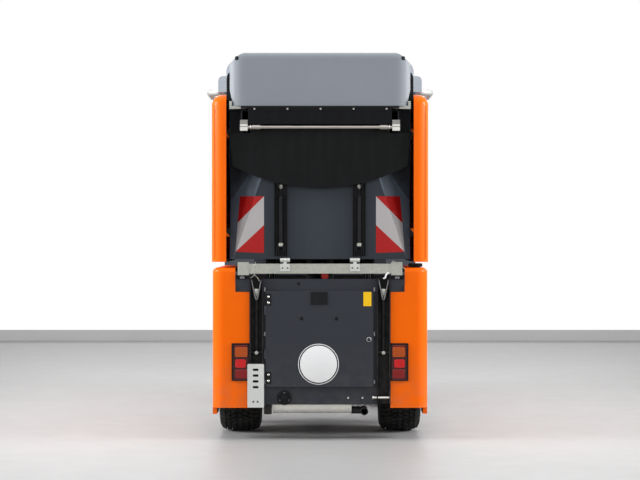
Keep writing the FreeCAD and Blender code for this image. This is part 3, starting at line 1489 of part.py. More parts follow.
def window_outline(inset):
    """The window in the door, above its waist."""
    edge = size.door_frame + inset
    waist, bend = door_waist + inset, size.door_round
    return [(station.door_back + edge, waist, bend), (station.door_front - edge, waist, bend),
            (station.door_front - edge, size.belt_height + inset),
            (station.door_front_top - edge, size.door_top - edge, bend),
            (station.door_back + edge, size.door_top - edge, bend)]


def screen_y(height):
    """How far forward the screen's outside is at a height above the belt."""
    run = station.cab_front_belt - station.cab_front_top
    return station.cab_front_belt - run * (height - size.belt_height) / (size.cab_top - size.belt_height)


def nose_y(height):
    """How far forward the nose is at a height below the belt."""
    run = station.cab_front_low - station.cab_front_belt
    return station.cab_front_low - run * (height - cab_foot_floor) / (size.belt_height - cab_foot_floor)


def cab_shell():
    """The hollow cab with its openings and the fixed halves of the door hinges."""
    half, wall = size.cab_half_width, size.cab_wall
    outer = prism("CabOuter", "YZ", cab_profile(no_inset), -half, half)
    inner = prism("CabInner", "YZ", cab_profile(wall), wall - half, half - wall)
    corner, inner_corner = rear_corner("CabCorner", no_inset), rear_corner("CabInnerCorner", wall)
    hollow = cut("CabHollow", inner, inner_corner, mirrored(inner_corner))
    opening = prism("DoorOpening", "YZ", door_outline(no_inset), half - wall - OVER, half + OVER)
    face = rectangle((size.screen_margin - half, half - size.screen_margin),
                     (size.screen_bottom, size.rear_window_top), size.window_round)
    screen = prism("ScreenOpening", "XZ", face, station.cab_front_top - wall * 2,
                   station.cab_front_low + wall)
    face = rectangle((-size.rear_window_half, size.rear_window_half),
                     (size.rear_window_bottom, size.rear_window_top), size.window_round)
    window = prism("RearWindow", "XZ", face, station.cab_rear - OVER, station.cab_rear + wall + OVER)
    lamp = rod("LampSocket", "Y", size.headlamp_radius + size.seat_gap,
               nose_y(size.headlamp_height) - size.headlamp_depth / 2, station.cab_front_low + OVER,
               (size.headlamp_x, size.headlamp_height))
    shell = cut("CabShell", outer, corner, mirrored(corner), hollow, opening, mirrored(opening), screen,
                window, lamp, mirrored(lamp))
    hinges = [piece for height in hinge_heights for piece in cab_hinge(height)]
    node("cab_shell", fuse("CabWithHinges", shell, *(hinges + [mirrored(piece) for piece in hinges])))


hinge_heights = (size.door_bottom + size.cab_wall, door_waist)
door_axis_x = size.cab_half_width + size.door_hinge_radius
door_axis_y = station.door_front - size.door_gap / 2


def cab_hinge(height):
    """The fixed half of a door hinge, on the cab's side just ahead of the door."""
    low = height + size.door_hinge_length / 2 + size.knuckle_gap
    high = height + size.door_hinge_length
    knuckle = rod("CabKnuckle", "Z", size.door_hinge_radius, low, high, (door_axis_x, door_axis_y))
    tab = box("CabHingeTab", (size.cab_half_width - OVER, door_axis_x),
              (door_axis_y, door_axis_y + size.door_hinge_tab), (low, high))
    return [knuckle, tab]


def door(name, side):
    """A cab door with its knuckles and handle, and its pane as a piece of its own."""
    half, wall = size.cab_half_width, size.cab_wall
    panel = prism("Door" + name, "YZ", door_outline(size.door_gap), half - wall, half)
    add_pocket(panel, "YZ", window_outline(no_inset), half - wall - OVER, half + OVER)
    hinges = []
    for height in hinge_heights:
        low, high = height, height + size.door_hinge_length / 2
        hinges.append(rod("DoorKnuckle", "Z", size.door_hinge_radius, low, high, (door_axis_x, door_axis_y)))
        hinges.append(box("DoorHingeTab", (half - OVER, door_axis_x),
                          (door_axis_y - size.door_hinge_tab, door_axis_y), (low, high)))
    handle_y = station.door_back + size.door_frame / 2
    handle = box("DoorHandle" + name, (half - OVER, half + size.handle_out),
                 (handle_y, handle_y + size.handle_length),
                 (door_waist - size.door_frame, door_waist - size.door_frame / 2))
    right = fuse("DoorParts" + name, panel, handle, *hinges)
    middle, thick = half - wall / 2, size.glass_thickness / 2
    pane = prism("DoorPane" + name, "YZ", window_outline(size.seat_gap), middle - thick, middle + thick)
    node("door_" + name, right if side > 0 else mirrored(right))
    node("door_glass_" + name, pane if side > 0 else mirrored(pane))


def cab_glass():
    """The bent windscreen and the rear pane."""
    half, margin, gap = size.cab_half_width, size.screen_margin, size.seat_gap
    low, high = size.screen_bottom + gap, size.rear_window_top - gap
    deep = size.cab_wall / 2
    thick = deep + size.glass_thickness
    belt_y, belt = station.cab_front_belt, size.belt_height
    outline = [(nose_y(low) - thick, low), (nose_y(low) - deep, low), (belt_y - deep, belt),
               (screen_y(high) - deep, high), (screen_y(high) - thick, high), (belt_y - thick, belt)]
    screen = prism("Screen", "YZ", outline, margin + gap - half, half - margin - gap)
    face = rectangle((margin + gap - half, half - margin - gap), (low, high), size.window_round)
    corners = prism("ScreenCorners", "XZ", face, station.cab_front_top - size.cab_wall * 2,
                    station.cab_front_low)
    middle = station.cab_rear + deep
    window = prism("BackPane", "XZ", rectangle((gap - size.rear_window_half, size.rear_window_half - gap),
                                               (size.rear_window_bottom + gap, high), size.window_round),
                   middle, middle + size.glass_thickness)
    node("cab_glass", group("CabGlass", common("ScreenPane", screen, corners), window))


def cab_roof():
    """The roof slab, a little wider than the cab."""
    half, nose = size.roof_half_width, size.cab_rear_half
    ahead, bend = station.roof_front, size.roof_round
    outline = [(-nose, station.cab_rear), (nose, station.cab_rear), (half, station.cab_rear + half - nose),
               (half, ahead, bend), (-half, ahead, bend), (-half, station.cab_rear + half - nose)]
    roof = prism("Roof", "XY", outline, size.cab_top, size.roof_top)
    top = size.roof_top.number
    add_fillet(roof, size.roof_edge, lambda edge: abs(edge.CenterOfMass.z - top) < CLOSE)
    node("cab_roof", roof)


def cab_inside():
    """The seat on its base, and the dashboard with the bore for the steering column."""
    floor = size.cab_floor + size.cab_wall
    back = station.cab_rear + size.cab_wall + size.running_gap
    low, half = size.seat_bottom, size.seat_half_width
    lean, thick, deep = size.seat_lean, size.seat_back_thickness, size.seat_thickness
    knee, top, bend = back + size.seat_length, low + size.seat_back_height, size.seat_round
    outline = [(back + lean, low, size.seat_heel_round), (knee, low, size.seat_front_round),
               (knee, low + deep, bend), (back + lean + thick, low + deep),
               (back + thick, top, bend), (back, top, bend)]
    node("seat", prism("Seat", "YZ", outline, -half, half))
    node("seat_base", box("SeatBase", (-size.seat_base_half, size.seat_base_half),
                          (station.cab_seat_step + size.cab_wall + size.seat_base_gap,
                           knee - size.seat_base_in),
                          (floor, low - size.seat_gap)))
    top, foot = size.dash_top, cab_foot_floor + size.cab_wall
    ledge = top - size.dash_thickness
    near, far, chamfer = station.dash_back, station.dash_front, size.dash_chamfer
    outline = [(near, ledge), (far, ledge), (far, top - size.dash_slope),
               (near + chamfer, top, size.dash_round), (near, top - chamfer, size.dash_edge_round)]
    panel = prism("DashTop", "YZ", outline, -size.dash_half_width, size.dash_half_width)
    leg = box("DashLeg", (-size.pedestal_half_width, size.pedestal_half_width),
              (far - size.dash_thickness, far), (foot, ledge + OVER))
    bore = slanted_rod("ColumnBore", size.column_radius + size.seat_gap, 0, column_foot, steering_hub)
    node("dashboard", cut("Dashboard", fuse("DashParts", panel, leg), bore))


def steering_wheel():
    """The ring with its spoke, square to the column that carries it."""
    hub, foot = steering_hub, column_foot
    ring = doc.addObject("Part::Torus", "SteeringRing")
    bind(ring, "Radius1", size.steering_radius)
    bind(ring, "Radius2", size.steering_tube)
    ring.Placement = FreeCAD.Placement(Vector(), FreeCAD.Rotation(AXES["X"], 30))
    bind(ring, "Placement.Rotation.Angle", slope(foot[0] - hub[0], hub[1] - foot[1]))
    place(ring, 0, *hub)
    column = slanted_rod("SteeringColumn", size.column_radius, 0, foot, hub)
    spoke = rod("SteeringSpoke", "X", size.spoke_radius, -size.steering_radius, size.steering_radius, hub)
    node("steering_wheel", fuse("SteeringWheel", ring, column, spoke))


def headlamps():
    """A round lamp in each socket of the nose."""
    back = nose_y(size.headlamp_height) - size.headlamp_depth / 2 + size.seat_gap
    lamp = rod("Headlamp", "Y", size.headlamp_radius, back, back + size.headlamp_depth,
               (size.headlamp_x, size.headlamp_height))
    node("headlamps", pair("Headlamps", lamp))


def mirrors():
    """A bent arm from the roof's side, a stem and the mirror's housing."""
    height, out = size.mirror_arm_height, size.mirror_out
    start, y, end = size.roof_half_width, station.mirror_arm_y, station.mirror_y
    arm = bent_tube("MirrorArm", "XY", height, [(start, y, 0), (out, y, size.mirror_bend), (out, end, 0)],
                    "YZ", (y, height, start), size.mirror_arm_radius)
    x, half, deep = size.mirror_x, size.mirror_half_width, size.mirror_depth / 2
    low, high, middle = size.mirror_top - size.mirror_height, size.mirror_top, end - size.mirror_arm_radius
    stem = rod("MirrorStem", "Z", size.mirror_stem_radius, high - OVER, height, (out, middle))
    shade = prism("MirrorShade", "XZ", rectangle((x - half, x + half), (low, high), size.mirror_round),
                  middle - deep, middle + deep)
    node("mirrors", pair("Mirrors", fuse("MirrorParts", arm, stem, shade)))


def build():
    rear_frame()
    node("rear_axle", axle("RearAxle", rear_axle, size.rail_bottom))
    engine_bay()
    rear_panels()
    posts()
    foot_plate()
    lower_covers()
    tail_lamps()
    hinge_beam()
    engine_hatch()
    hopper_shell()
    hopper_covers()
    hopper_cap()
    strut_channels()
    flap_bar()
    flap_seal()
    rear_flap()
    flap_struts()
    tilt_cylinders()
    front_frame()
    node("front_axle", axle("FrontAxle", front_axle, size.rail_bottom))
    suction_line()
    suction_mouth()
    lift_frame()
    cab_shell()
    cab_glass()
    cab_roof()
    cab_inside()
    steering_wheel()
    headlamps()
    mirrors()
    for name, side in (("left", -1), ("right", 1)):
        door(name, side)
        brush_arm(name, side)
        brush(name, side)
        wheel("rear_" + name, side, rear_axle)
        wheel("front_" + name, side, front_axle)


def check():
    """Stop if any step failed, cut nothing, or left a sub-part without a valid shape."""
    for thing in doc.Objects:
        bad = [word for word in thing.State if word in ("Invalid", "Error")]
        if bad:
            raise RuntimeError("%s (%s) is %s" % (thing.Label, thing.Name, bad))
        if thing.TypeId == "PartDesign::Pocket":
            base = thing.BaseFeature
            if thing.Shape.Volume > base.Shape.Volume - 1:
                raise RuntimeError("%s cuts nothing" % thing.Name)
    for name, thing in NODES.items():
        if thing.Shape.isNull() or not thing.Shape.isValid() or not thing.Shape.Solids:
            raise RuntimeError("%s has no valid solid" % name)


def write():
    os.makedirs("parts", exist_ok=True)
    for name, thing in NODES.items():
        thing.Shape.exportStep("parts/%s.step" % name)
        print("%-20s solids %d  litres %.2f" % (name, len(thing.Shape.Solids), thing.Shape.Volume / 1e6))


build()
doc.recompute()
check()
write()
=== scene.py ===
import math
import random

import bmesh
import bpy
from mathutils import Matrix, Vector


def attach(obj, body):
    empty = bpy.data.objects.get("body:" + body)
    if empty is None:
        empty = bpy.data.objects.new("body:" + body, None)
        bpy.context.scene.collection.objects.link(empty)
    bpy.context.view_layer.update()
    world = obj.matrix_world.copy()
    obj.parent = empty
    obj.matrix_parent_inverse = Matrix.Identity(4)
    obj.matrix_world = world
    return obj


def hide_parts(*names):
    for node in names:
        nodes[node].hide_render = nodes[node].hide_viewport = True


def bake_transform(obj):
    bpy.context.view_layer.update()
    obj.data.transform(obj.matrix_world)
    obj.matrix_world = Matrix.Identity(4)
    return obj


# Looks of the articulated street sweeper, in the frame of the CAD model: X to the vehicle's right,
# Y forward, Z up, with the rear face at Y = REAR. Shapes are given in millimetres and add_piece
# scales them; the studio, the materials and the seat's pads are in Blender's metres.

MM = 0.001
REAR = -1900
SIDES = ((-1, "left"), (1, "right"))
RIGHTWARD, FORWARD, BACKWARD, UP, DOWN = (1, 0, 0), (0, 1, 0), (0, -1, 0), (0, 0, 1), (0, 0, -1)
POINTED = 1e-6

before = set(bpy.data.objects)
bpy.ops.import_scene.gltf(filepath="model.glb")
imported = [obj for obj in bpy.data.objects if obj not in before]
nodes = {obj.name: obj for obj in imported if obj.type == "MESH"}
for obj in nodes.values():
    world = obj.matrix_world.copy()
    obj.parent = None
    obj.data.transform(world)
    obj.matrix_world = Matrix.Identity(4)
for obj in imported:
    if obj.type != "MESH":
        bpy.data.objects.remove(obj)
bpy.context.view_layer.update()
random.seed(7)


# Small tools for meshes

def new_object(name, data):
    """An object around a mesh, a lamp or a camera, put into the scene."""
    thing = bpy.data.objects.new(name, data)
    bpy.context.scene.collection.objects.link(thing)
    return thing


def shade(thing, angle):
    """Smooth shading that keeps the edges sharper than the angle."""
    mesh = thing.data
    mesh.polygons.foreach_set("use_smooth", [True] * len(mesh.polygons))
    bm = bmesh.new()
    bm.from_mesh(mesh)
    limit = math.radians(angle)
    for edge in bm.edges:
        edge.smooth = len(edge.link_faces) == 2 and edge.calc_face_angle(0.0) < limit
    bm.to_mesh(mesh)
    bm.free()


def add_piece(name, bm, material, body, smooth=None, bevel=0.0):
    """Turn a bmesh in millimetres into an object on a body; edges over the angle smooth stay sharp."""
    bmesh.ops.recalc_face_normals(bm, faces=bm.faces)
    bm.transform(Matrix.Scale(MM, 4))
    mesh = bpy.data.meshes.new(name)
    bm.to_mesh(mesh)
    bm.free()
    thing = new_object(name, mesh)
    mesh.materials.append(material)
    if bevel:
        edge = thing.modifiers.new("edge", "BEVEL")
        edge.width = bevel * MM
        edge.segments = 2
        edge.limit_method = "ANGLE"
    if smooth:
        shade(thing, smooth)
    if body:
        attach(thing, body)
    return thing


def put_box(bm, low, high):
    """A block between two corners."""
    size = [b - a for a, b in zip(low, high)]
    middle = [(a + b) / 2 for a, b in zip(low, high)]
    bmesh.ops.create_cube(bm, size=1.0, matrix=Matrix.Translation(middle) @ Matrix.Diagonal(size + [1.0]))


def put_lathe(bm, centre, direction, profile, steps=32, ring_shaped=False):
    """A turned form: profile is a run of (radius, height along the direction)."""
    turned_up = Vector(UP).rotation_difference(Vector(direction)).to_matrix().to_4x4()
    spot = Matrix.Translation(centre) @ turned_up
    turns = [2 * math.pi * k / steps for k in range(steps)]
    rings = []
    for radius, height in profile:
        points = [(radius * math.cos(turn), radius * math.sin(turn), height) for turn in turns]
        if radius < POINTED:
            points = [(0, 0, height)]
        rings.append([bm.verts.new(spot @ Vector(point)) for point in points])
    joined = rings + rings[:1] if ring_shaped else rings
    for below, above in zip(joined, joined[1:]):
        for k in range(steps):
            corners = [below[k % len(below)], below[(k + 1) % len(below)],
                       above[(k + 1) % len(above)], above[k % len(above)]]
            corners = list(dict.fromkeys(corners))
            if len(corners) > 2:
                bm.faces.new(corners)
    for ring in (rings[0], rings[-1]):
        if len(ring) > 2 and not ring_shaped:
            bm.faces.new(ring)


def put_ring(bm, centre, across, upward, radius, steps):
    """Vertices round a centre in the plane of two directions."""
    turns = [2 * math.pi * k / steps for k in range(steps)]
    return [bm.verts.new(centre + (across * math.cos(turn) + upward * math.sin(turn)) * radius)
            for turn in turns]


def join_rings(bm, rings):
    """A skin over rings of as many vertices each, closed at both ends."""
    for below, above in zip(rings, rings[1:]):
        for k in range(len(below)):
            after = (k + 1) % len(below)
            bm.faces.new((below[k], below[after], above[after], above[k]))
    bm.faces.new(rings[0])
    bm.faces.new(rings[-1])


def step_at(path, index):
    """The way a path runs at one of its points."""
    return (path[min(index + 1, len(path) - 1)] - path[max(index - 1, 0)]).normalized()


def put_tube(bm, points, radius, steps=12, rounded=0):
    """A round wire through points; rounded adds points along a smooth curve between them."""
    path = [Vector(p) for p in points]
    if rounded:
        path = smooth_path(path, rounded)
    rings = []
    side = step_at(path, 0).orthogonal().normalized()
    for index, point in enumerate(path):
        ahead = step_at(path, index)
        side = (side - ahead * side.dot(ahead)).normalized()
        rings.append(put_ring(bm, point, side, ahead.cross(side), radius, steps))
    join_rings(bm, rings)


def smooth_path(path, steps):
    """Points on a smooth curve through the given ones."""
    ends = [path[0]] + path + [path[-1]]
    curve = []
    for a, b, c, d in zip(ends, ends[1:], ends[2:], ends[3:]):
        for k in range(steps):
            t = k / steps
            curve.append(0.5 * ((2 * b) + (c - a) * t + (2 * a - 5 * b + 4 * c - d) * t * t
                                + (3 * b - a - 3 * c + d) * t * t * t))
    return curve + [path[-1]]


def put_prism(bm, outline, axis, low, high):
    """A flat shape given by its outline in the two other axes, from low to high along the axis."""
    rings = []
    for w in (low, high):
        corners = [{"X": (w, u, v), "Y": (u, w, v), "Z": (u, v, w)}[axis] for u, v in outline]
        rings.append([bm.verts.new(corner) for corner in corners])
    join_rings(bm, rings)


def around(count, radius, start=0):
    """Pairs of offsets round a circle, from a start in degrees."""
    turns = [math.radians(360 / count * k + start) for k in range(count)]
    return [(radius * math.cos(turn), radius * math.sin(turn)) for turn in turns]


def round_outline(low, high, radius, steps=5):
    """The outline of a rectangle between two corners, with round corners."""
    left, right = low[0] + radius, high[0] - radius
    bottom, top = low[1] + radius, high[1] - radius
    outline = []
    for cx, cy, start in ((right, top, 0), (left, top, 90), (left, bottom, 180), (right, bottom, 270)):
        for k in range(steps + 1):
            turn = math.radians(start + 90 * k / steps)
            outline.append((cx + radius * math.cos(turn), cy + radius * math.sin(turn)))
    return outline


def rounded(corners, radius, steps=6):
    """The outline through corners, each rounded by an arc."""
    outline = []
    for k, corner in enumerate(corners):
        here = Vector(corner)
        before = (Vector(corners[k - 1]) - here).normalized()
        after = (Vector(corners[(k + 1) % len(corners)]) - here).normalized()
        half = before.angle(after) / 2
        back = radius / math.tan(half)
        middle = here + (before + after).normalized() * (radius / math.sin(half))
        start, end = here + before * back - middle, here + after * back - middle
        for step in range(steps + 1):
            t = step / steps
            spoke = start * (1 - t) + end * t
            outline.append(tuple(middle + spoke.normalized() * radius))
    return outline


def mirrored(outline, side):
    """An outline for the side given by 1 or -1."""
    return [(side * x, z) for x, z in outline]


# Whole pieces of one kind of form each

def turned(name, body, material, spots, direction, profile, steps=24, smooth=35, ring_shaped=False):
    """A piece made of one turned form at each spot."""
    bm = bmesh.new()
    for spot in spots:
        put_lathe(bm, spot, direction, profile, steps, ring_shaped)
    return add_piece(name, bm, material, body, smooth)


def plate(name, body, material, outlines, low, high, axis="Y", smooth=None, bevel=0.0):
    """A piece made of flat shapes, from low to high along the axis."""
    bm = bmesh.new()
    for outline in outlines:
        put_prism(bm, outline, axis, low, high)
    return add_piece(name, bm, material, body, smooth, bevel)


def blocks(name, body, material, corners, smooth=None, bevel=0.0):
    """A piece made of blocks, each between two corners."""
    bm = bmesh.new()
    for low, high in corners:
        put_box(bm, low, high)
    return add_piece(name, bm, material, body, smooth, bevel)


def wire(name, body, material, runs, radius, steps=8, rounded=0, smooth=60):
    """A piece made of round wires, one through each run of points."""
    bm = bmesh.new()
    for points in runs:
        put_tube(bm, points, radius, steps, rounded)
    return add_piece(name, bm, material, body, smooth)


# Materials

ROAD_DUST = (120, 112, 102)
DRY_STAIN = (120, 112, 98)
TYRE_BLACK, TYRE_DUST = (27, 27, 28), (104, 100, 94)
GLASS_IOR = 1.45


def tinted(tone, factor=1.0):
    """A tone as it shows on screen, 0 to 255, made lighter or darker in Blender's linear values."""
    values = []
    for part in tone:
        part /= 255
        linear = part / 12.92 if part <= 0.04045 else ((part + 0.055) / 1.055) ** 2.4
        values.append(min(1.0, linear * factor))
    return tuple(values) + (1.0,)


class Paint:
    """A node material whose pattern is tied to the vehicle's own coordinates."""

    def __init__(self, name, roughness=0.5, metallic=0.0, coat=0.0, specular=0.2):
        """Start with a plain surface."""
        self.material = bpy.data.materials.new(name)
        self.material.use_nodes = True
        self.tree = self.material.node_tree
        self.shader = self.tree.nodes["Principled BSDF"]
        for key, value in (("Roughness", roughness), ("Metallic", metallic), ("Coat Weight", coat),
                           ("Coat Roughness", 0.08), ("Specular IOR Level", specular)):
            self.shader.inputs[key].default_value = value
        self.place = self.add("ShaderNodeTexCoord").outputs["Object"]

    def add(self, kind, **settings):
        """A new node, with its properties or its inputs set by name."""
        node = self.tree.nodes.new(kind)
        for key, value in settings.items():
            if hasattr(node, key):
                setattr(node, key, value)
            else:
                node.inputs[key].default_value = value
        return node

    def link(self, output, target):
        """Join an output to an input."""
        self.tree.links.new(output, target)

    def pattern(self, kind, **settings):
        """A texture node in the vehicle's coordinates."""
        node = self.add(kind, **settings)
        self.link(self.place, node.inputs["Vector"])
        return node

    def noise(self, scale, detail=3.0, stretch=None, rough=0.5):
        """Noise, which may be stretched along the axes."""
        node = self.pattern("ShaderNodeTexNoise", Scale=scale, Detail=detail, Roughness=rough)
        if stretch:
            mapping = self.pattern("ShaderNodeMapping")
            mapping.inputs["Scale"].default_value = stretch
            self.link(mapping.outputs["Vector"], node.inputs["Vector"])
        return node.outputs["Fac"]

    def spread(self, value, low=0.0, high=1.0, start=0.3, end=0.7):
        """Take the values between start and end to the range from low to high."""
        node = self.add("ShaderNodeMapRange")
        self.link(value, node.inputs["Value"])
        for key, number in (("From Min", start), ("From Max", end), ("To Min", low), ("To Max", high)):
            node.inputs[key].default_value = number
        return node.outputs["Result"]

    def blend(self, factor, first, second):
        """Mix two colours or outputs by a factor."""
        node = self.add("ShaderNodeMix", data_type="RGBA")
        self.link(factor, node.inputs["Factor"])
        for key, value in ((6, first), (7, second)):
            if isinstance(value, tuple):
                node.inputs[key].default_value = value
            else:
                self.link(value, node.inputs[key])
        return node.outputs[2]

    def shades(self, value, tone, first, second):
        """Run from one shade of the tone to another as the value goes from 0.3 to 0.7."""
        return self.blend(self.spread(value), tinted(tone, first), tinted(tone, second))

    def height(self):
        """Height above the road, in metres."""
        return self.pattern("ShaderNodeSeparateXYZ").outputs["Z"]

    def times(self, first, second):
        """The product of two outputs."""
        node = self.add("ShaderNodeMath", operation="MULTIPLY")
        self.link(first, node.inputs[0])
        self.link(second, node.inputs[1])
        return node.outputs["Value"]

    def base(self, value):
        """The colour of the surface."""
        self.link(value, self.shader.inputs["Base Color"])

    def rough(self, value, low, high, start=0.3, end=0.7):
        """A roughness between low and high, which follows the value."""
        self.link(self.spread(value, low, high, start, end), self.shader.inputs["Roughness"])

    def bump(self, value, strength, distance=0.001):
        """Fine relief that follows the value."""
        node = self.add("ShaderNodeBump", Strength=strength, Distance=distance)
        self.link(value, node.inputs["Height"])
        self.link(node.outputs["Normal"], self.shader.inputs["Normal"])


def lacquer(name, tone, roughness=0.32, coat=0.25, dust=0.35, reach=0.5, ripple=0.04, specular=0.2):
    """Sprayed or moulded colour: faint mottling, orange peel and some road dust low down."""
    paint = Paint(name, roughness, coat=coat, specular=specular)
    low_down = paint.spread(paint.height(), dust, 0.0, 0.0, reach)
    dirty = paint.times(low_down, paint.spread(paint.noise(18.0, 6.0), start=0.35, end=0.75))
    paint.base(paint.blend(dirty, paint.shades(paint.noise(4.0, 4.0), tone, 0.97, 1.03), tinted(ROAD_DUST)))
    paint.rough(paint.noise(9.0, 5.0), roughness - 0.02, roughness + 0.03)
    paint.bump(paint.noise(420.0, 2.0), ripple, 0.0006)
    return paint.material


def coated_steel(name, tone, roughness=0.5):
    """Powder coat on steel: a fine even grain, slightly worn and dusty."""
    paint = Paint(name, roughness)
    dirty = paint.times(paint.spread(paint.height(), 0.35, 0.03, 0.05, 0.9),
                        paint.spread(paint.noise(26.0, 7.0), start=0.4, end=0.8))
    paint.base(paint.blend(dirty, paint.shades(paint.noise(7.0, 5.0), tone, 0.85, 1.15), tinted(ROAD_DUST)))
    paint.rough(paint.noise(12.0, 4.0), roughness - 0.06, roughness + 0.12)
    paint.bump(paint.noise(900.0, 2.0), 0.12, 0.0004)
    return paint.material


def plastic_sheet(name, tone, roughness=0.55, depth=0.15):
    """Grained plastic or rubber sheet with faint streaks."""
    paint = Paint(name, roughness, specular=0.1)
    paint.base(paint.shades(paint.noise(5.0, 5.0, stretch=(6.0, 6.0, 0.8)), tone, 0.8, 1.25))
    paint.rough(paint.noise(14.0, 5.0), roughness - 0.08, roughness + 0.12)
    paint.bump(paint.noise(700.0, 3.0), depth, 0.0006)
    return paint.material


def zinc(name, tone, spangle=0.08):
    """Hot dip galvanised steel with its spangle of crystals."""
    paint = Paint(name, 0.42, metallic=0.6)
    grey = paint.add("ShaderNodeRGBToBW")
    paint.link(paint.pattern("ShaderNodeTexVoronoi", Scale=85.0).outputs["Color"], grey.inputs["Color"])
    cells = grey.outputs["Val"]
    crystal = paint.blend(paint.spread(cells, start=0.1, end=0.9),
                          tinted(tone, 1.0 - spangle), tinted(tone, 1.0 + spangle))
    stain = paint.spread(paint.noise(9.0, 6.0), 0.0, 0.15, 0.5, 0.8)
    paint.base(paint.blend(stain, crystal, tinted(DRY_STAIN)))
    paint.rough(cells, 0.44, 0.54, 0.1, 0.9)
    paint.bump(paint.noise(160.0, 3.0), 0.08, 0.0006)
    return paint.material


def drawn_steel(name, tone, along=(1.0, 60.0, 60.0), roughness=0.28):
    """Bare stainless or plated steel with fine lines along its length."""
    paint = Paint(name, roughness, metallic=1.0)
    lines = paint.noise(12.0, 5.0, stretch=along)
    paint.base(paint.shades(lines, tone, 0.78, 1.1))
    paint.rough(lines, roughness - 0.08, roughness + 0.14)
    paint.bump(lines, 0.08, 0.0004)
    return paint.material


def castings(name, tone):
    """Rough cast iron with oil and dust."""
    paint = Paint(name, 0.62, metallic=0.3)
    paint.base(paint.shades(paint.noise(10.0, 7.0), tone, 0.7, 1.3))
    paint.bump(paint.noise(380.0, 5.0), 0.35, 0.0012)
    return paint.material


def tyre_compound(name):
    """Tyre rubber, with pale dust in patches on the tread and the walls."""
    paint = Paint(name, 0.78)
    dust = paint.spread(paint.noise(22.0, 8.0, rough=0.6), 0.0, 0.28, 0.42, 0.78)
    paint.base(paint.blend(dust, tinted(TYRE_BLACK), tinted(TYRE_DUST)))
    paint.rough(paint.noise(30.0, 4.0), 0.68, 0.92)
    paint.bump(paint.noise(650.0, 4.0), 0.25, 0.0008)
    return paint.material


def window(name, tone, roughness=0.02):
    """Tinted safety glass with a trace of dust."""
    paint = Paint(name, roughness)
    paint.shader.inputs["Transmission Weight"].default_value = 1.0
    paint.shader.inputs["IOR"].default_value = GLASS_IOR
    paint.base(paint.shades(paint.noise(3.0, 5.0), tone, 1.0, 0.93))
    paint.rough(paint.noise(24.0, 6.0), 0.01, 0.05, 0.4, 0.9)
    return paint.material


def lamp_glass(name, tone, glow=0.0, ribs=300.0):
    """Moulded lens with a fine grid of prisms behind its smooth face."""
    paint = Paint(name, 0.18, coat=0.3)
    paint.shader.inputs["Transmission Weight"].default_value = 0.25
    waves = [paint.pattern("ShaderNodeTexWave", Scale=scale, Distortion=0.0, bands_direction=axis)
             for scale, axis in ((ribs / 6.0, "X"), (ribs / 9.0, "Z"))]
    prisms = paint.times(waves[0].outputs["Fac"], waves[1].outputs["Fac"])
    paint.base(paint.blend(paint.spread(prisms, start=0.0, end=1.0), tinted(tone, 0.62), tinted(tone, 1.15)))
    paint.bump(prisms, 0.35, 0.001)
    if glow:
        paint.shader.inputs["Emission Color"].default_value = tinted(tone)
        paint.shader.inputs["Emission Strength"].default_value = glow
    return paint.material


def retro_film(name, tone):
    """Reflective sign film: a fine honeycomb under a gloss face."""
    paint = Paint(name, 0.35, coat=0.2)
    cells = paint.pattern("ShaderNodeTexVoronoi", Scale=260.0, feature="DISTANCE_TO_EDGE")
    edge = paint.spread(cells.outputs["Distance"], 0.0, 1.0, 0.0, 0.12)
    paint.base(paint.blend(edge, tinted(tone, 0.88), tinted(tone)))
    paint.rough(paint.noise(12.0, 4.0), 0.3, 0.5)
    return paint.material


def vinyl(name, tone):
    """Seat vinyl: a fine pebbled grain with worn, shinier places."""
    paint = Paint(name, 0.5)
    paint.base(paint.shades(paint.noise(6.0, 4.0), tone, 0.85, 1.25))
    paint.rough(paint.noise(8.0, 4.0), 0.4, 0.62)
    paint.bump(paint.pattern("ShaderNodeTexVoronoi", Scale=420.0).outputs["Distance"], 0.3, 0.0008)
    return paint.material


def bristle_stuff(name, tone):
    """Nylon and steel bristles: each stands out by a slightly different tone."""
    paint = Paint(name, 0.6)
    strands = paint.noise(240.0, 3.0, stretch=(1.0, 1.0, 0.06))
    paint.base(paint.shades(strands, tone, 0.5, 1.6))
    paint.bump(strands, 0.4, 0.002)
    return paint.material


def clamp_halves(name, tone, seam):
    """Steel clamp: an upper part at a darker tone and a lower part at the full tone, with a dark seam
    between them.
    """
    paint = Paint(name, 0.4, metallic=0.7)
    height = paint.height()
    upper_part = paint.spread(height, 0.0, 1.0, seam + 0.011, seam + 0.012)
    gap = paint.times(paint.spread(height, 0.0, 1.0, seam - 0.0015, seam - 0.001),
                      paint.spread(height, 1.0, 0.0, seam + 0.001, seam + 0.0015))
    halves = paint.blend(upper_part, tinted(tone), tinted(tone, 0.4))
    paint.base(paint.blend(gap, halves, tinted(tone, 0.03)))
    paint.rough(paint.noise(60.0, 4.0), 0.32, 0.5)
    return paint.material


BAR_SEAM = 1.5695
GRAIN_FREE = (1.0, 1.0, 1.0)

orange = lacquer("orange_panel", (249, 106, 0), roughness=0.3, coat=0.05, specular=0.12)
slate = lacquer("hopper_slate", (54, 60, 68), roughness=0.42, coat=0.02, dust=0.1, ripple=0.06)
# The hopper's slate made lighter for the corner facets: a painted highlight for the light they catch
slate_painted_highlight = lacquer("hopper_facet_painted_highlight", (104, 113, 127), roughness=0.42, coat=0.02, dust=0.1, ripple=0.06)
hatch_grey = lacquer("hatch_grey", (47, 50, 57), roughness=0.45, coat=0.02, dust=0.25, ripple=0.06)
shell_grey = lacquer("shell_grey", (134, 140, 148), roughness=0.38, coat=0.06, dust=0.0)
black_coat = coated_steel("black_coat", (16, 18, 22))
dark_cast = castings("dark_cast", (48, 48, 50))
engine_cast = castings("engine_cast", (92, 92, 94))
galvanised = zinc("galvanised", (170, 171, 163))
plated = zinc("plated", (202, 204, 201), 0.03)
dull_steel = drawn_steel("dull_steel", (104, 104, 106), roughness=0.42)
bar_steel = drawn_steel("bar_steel", (178, 173, 166), roughness=0.34)
clamp_block = clamp_halves("clamp_block", (205, 203, 198), BAR_SEAM)
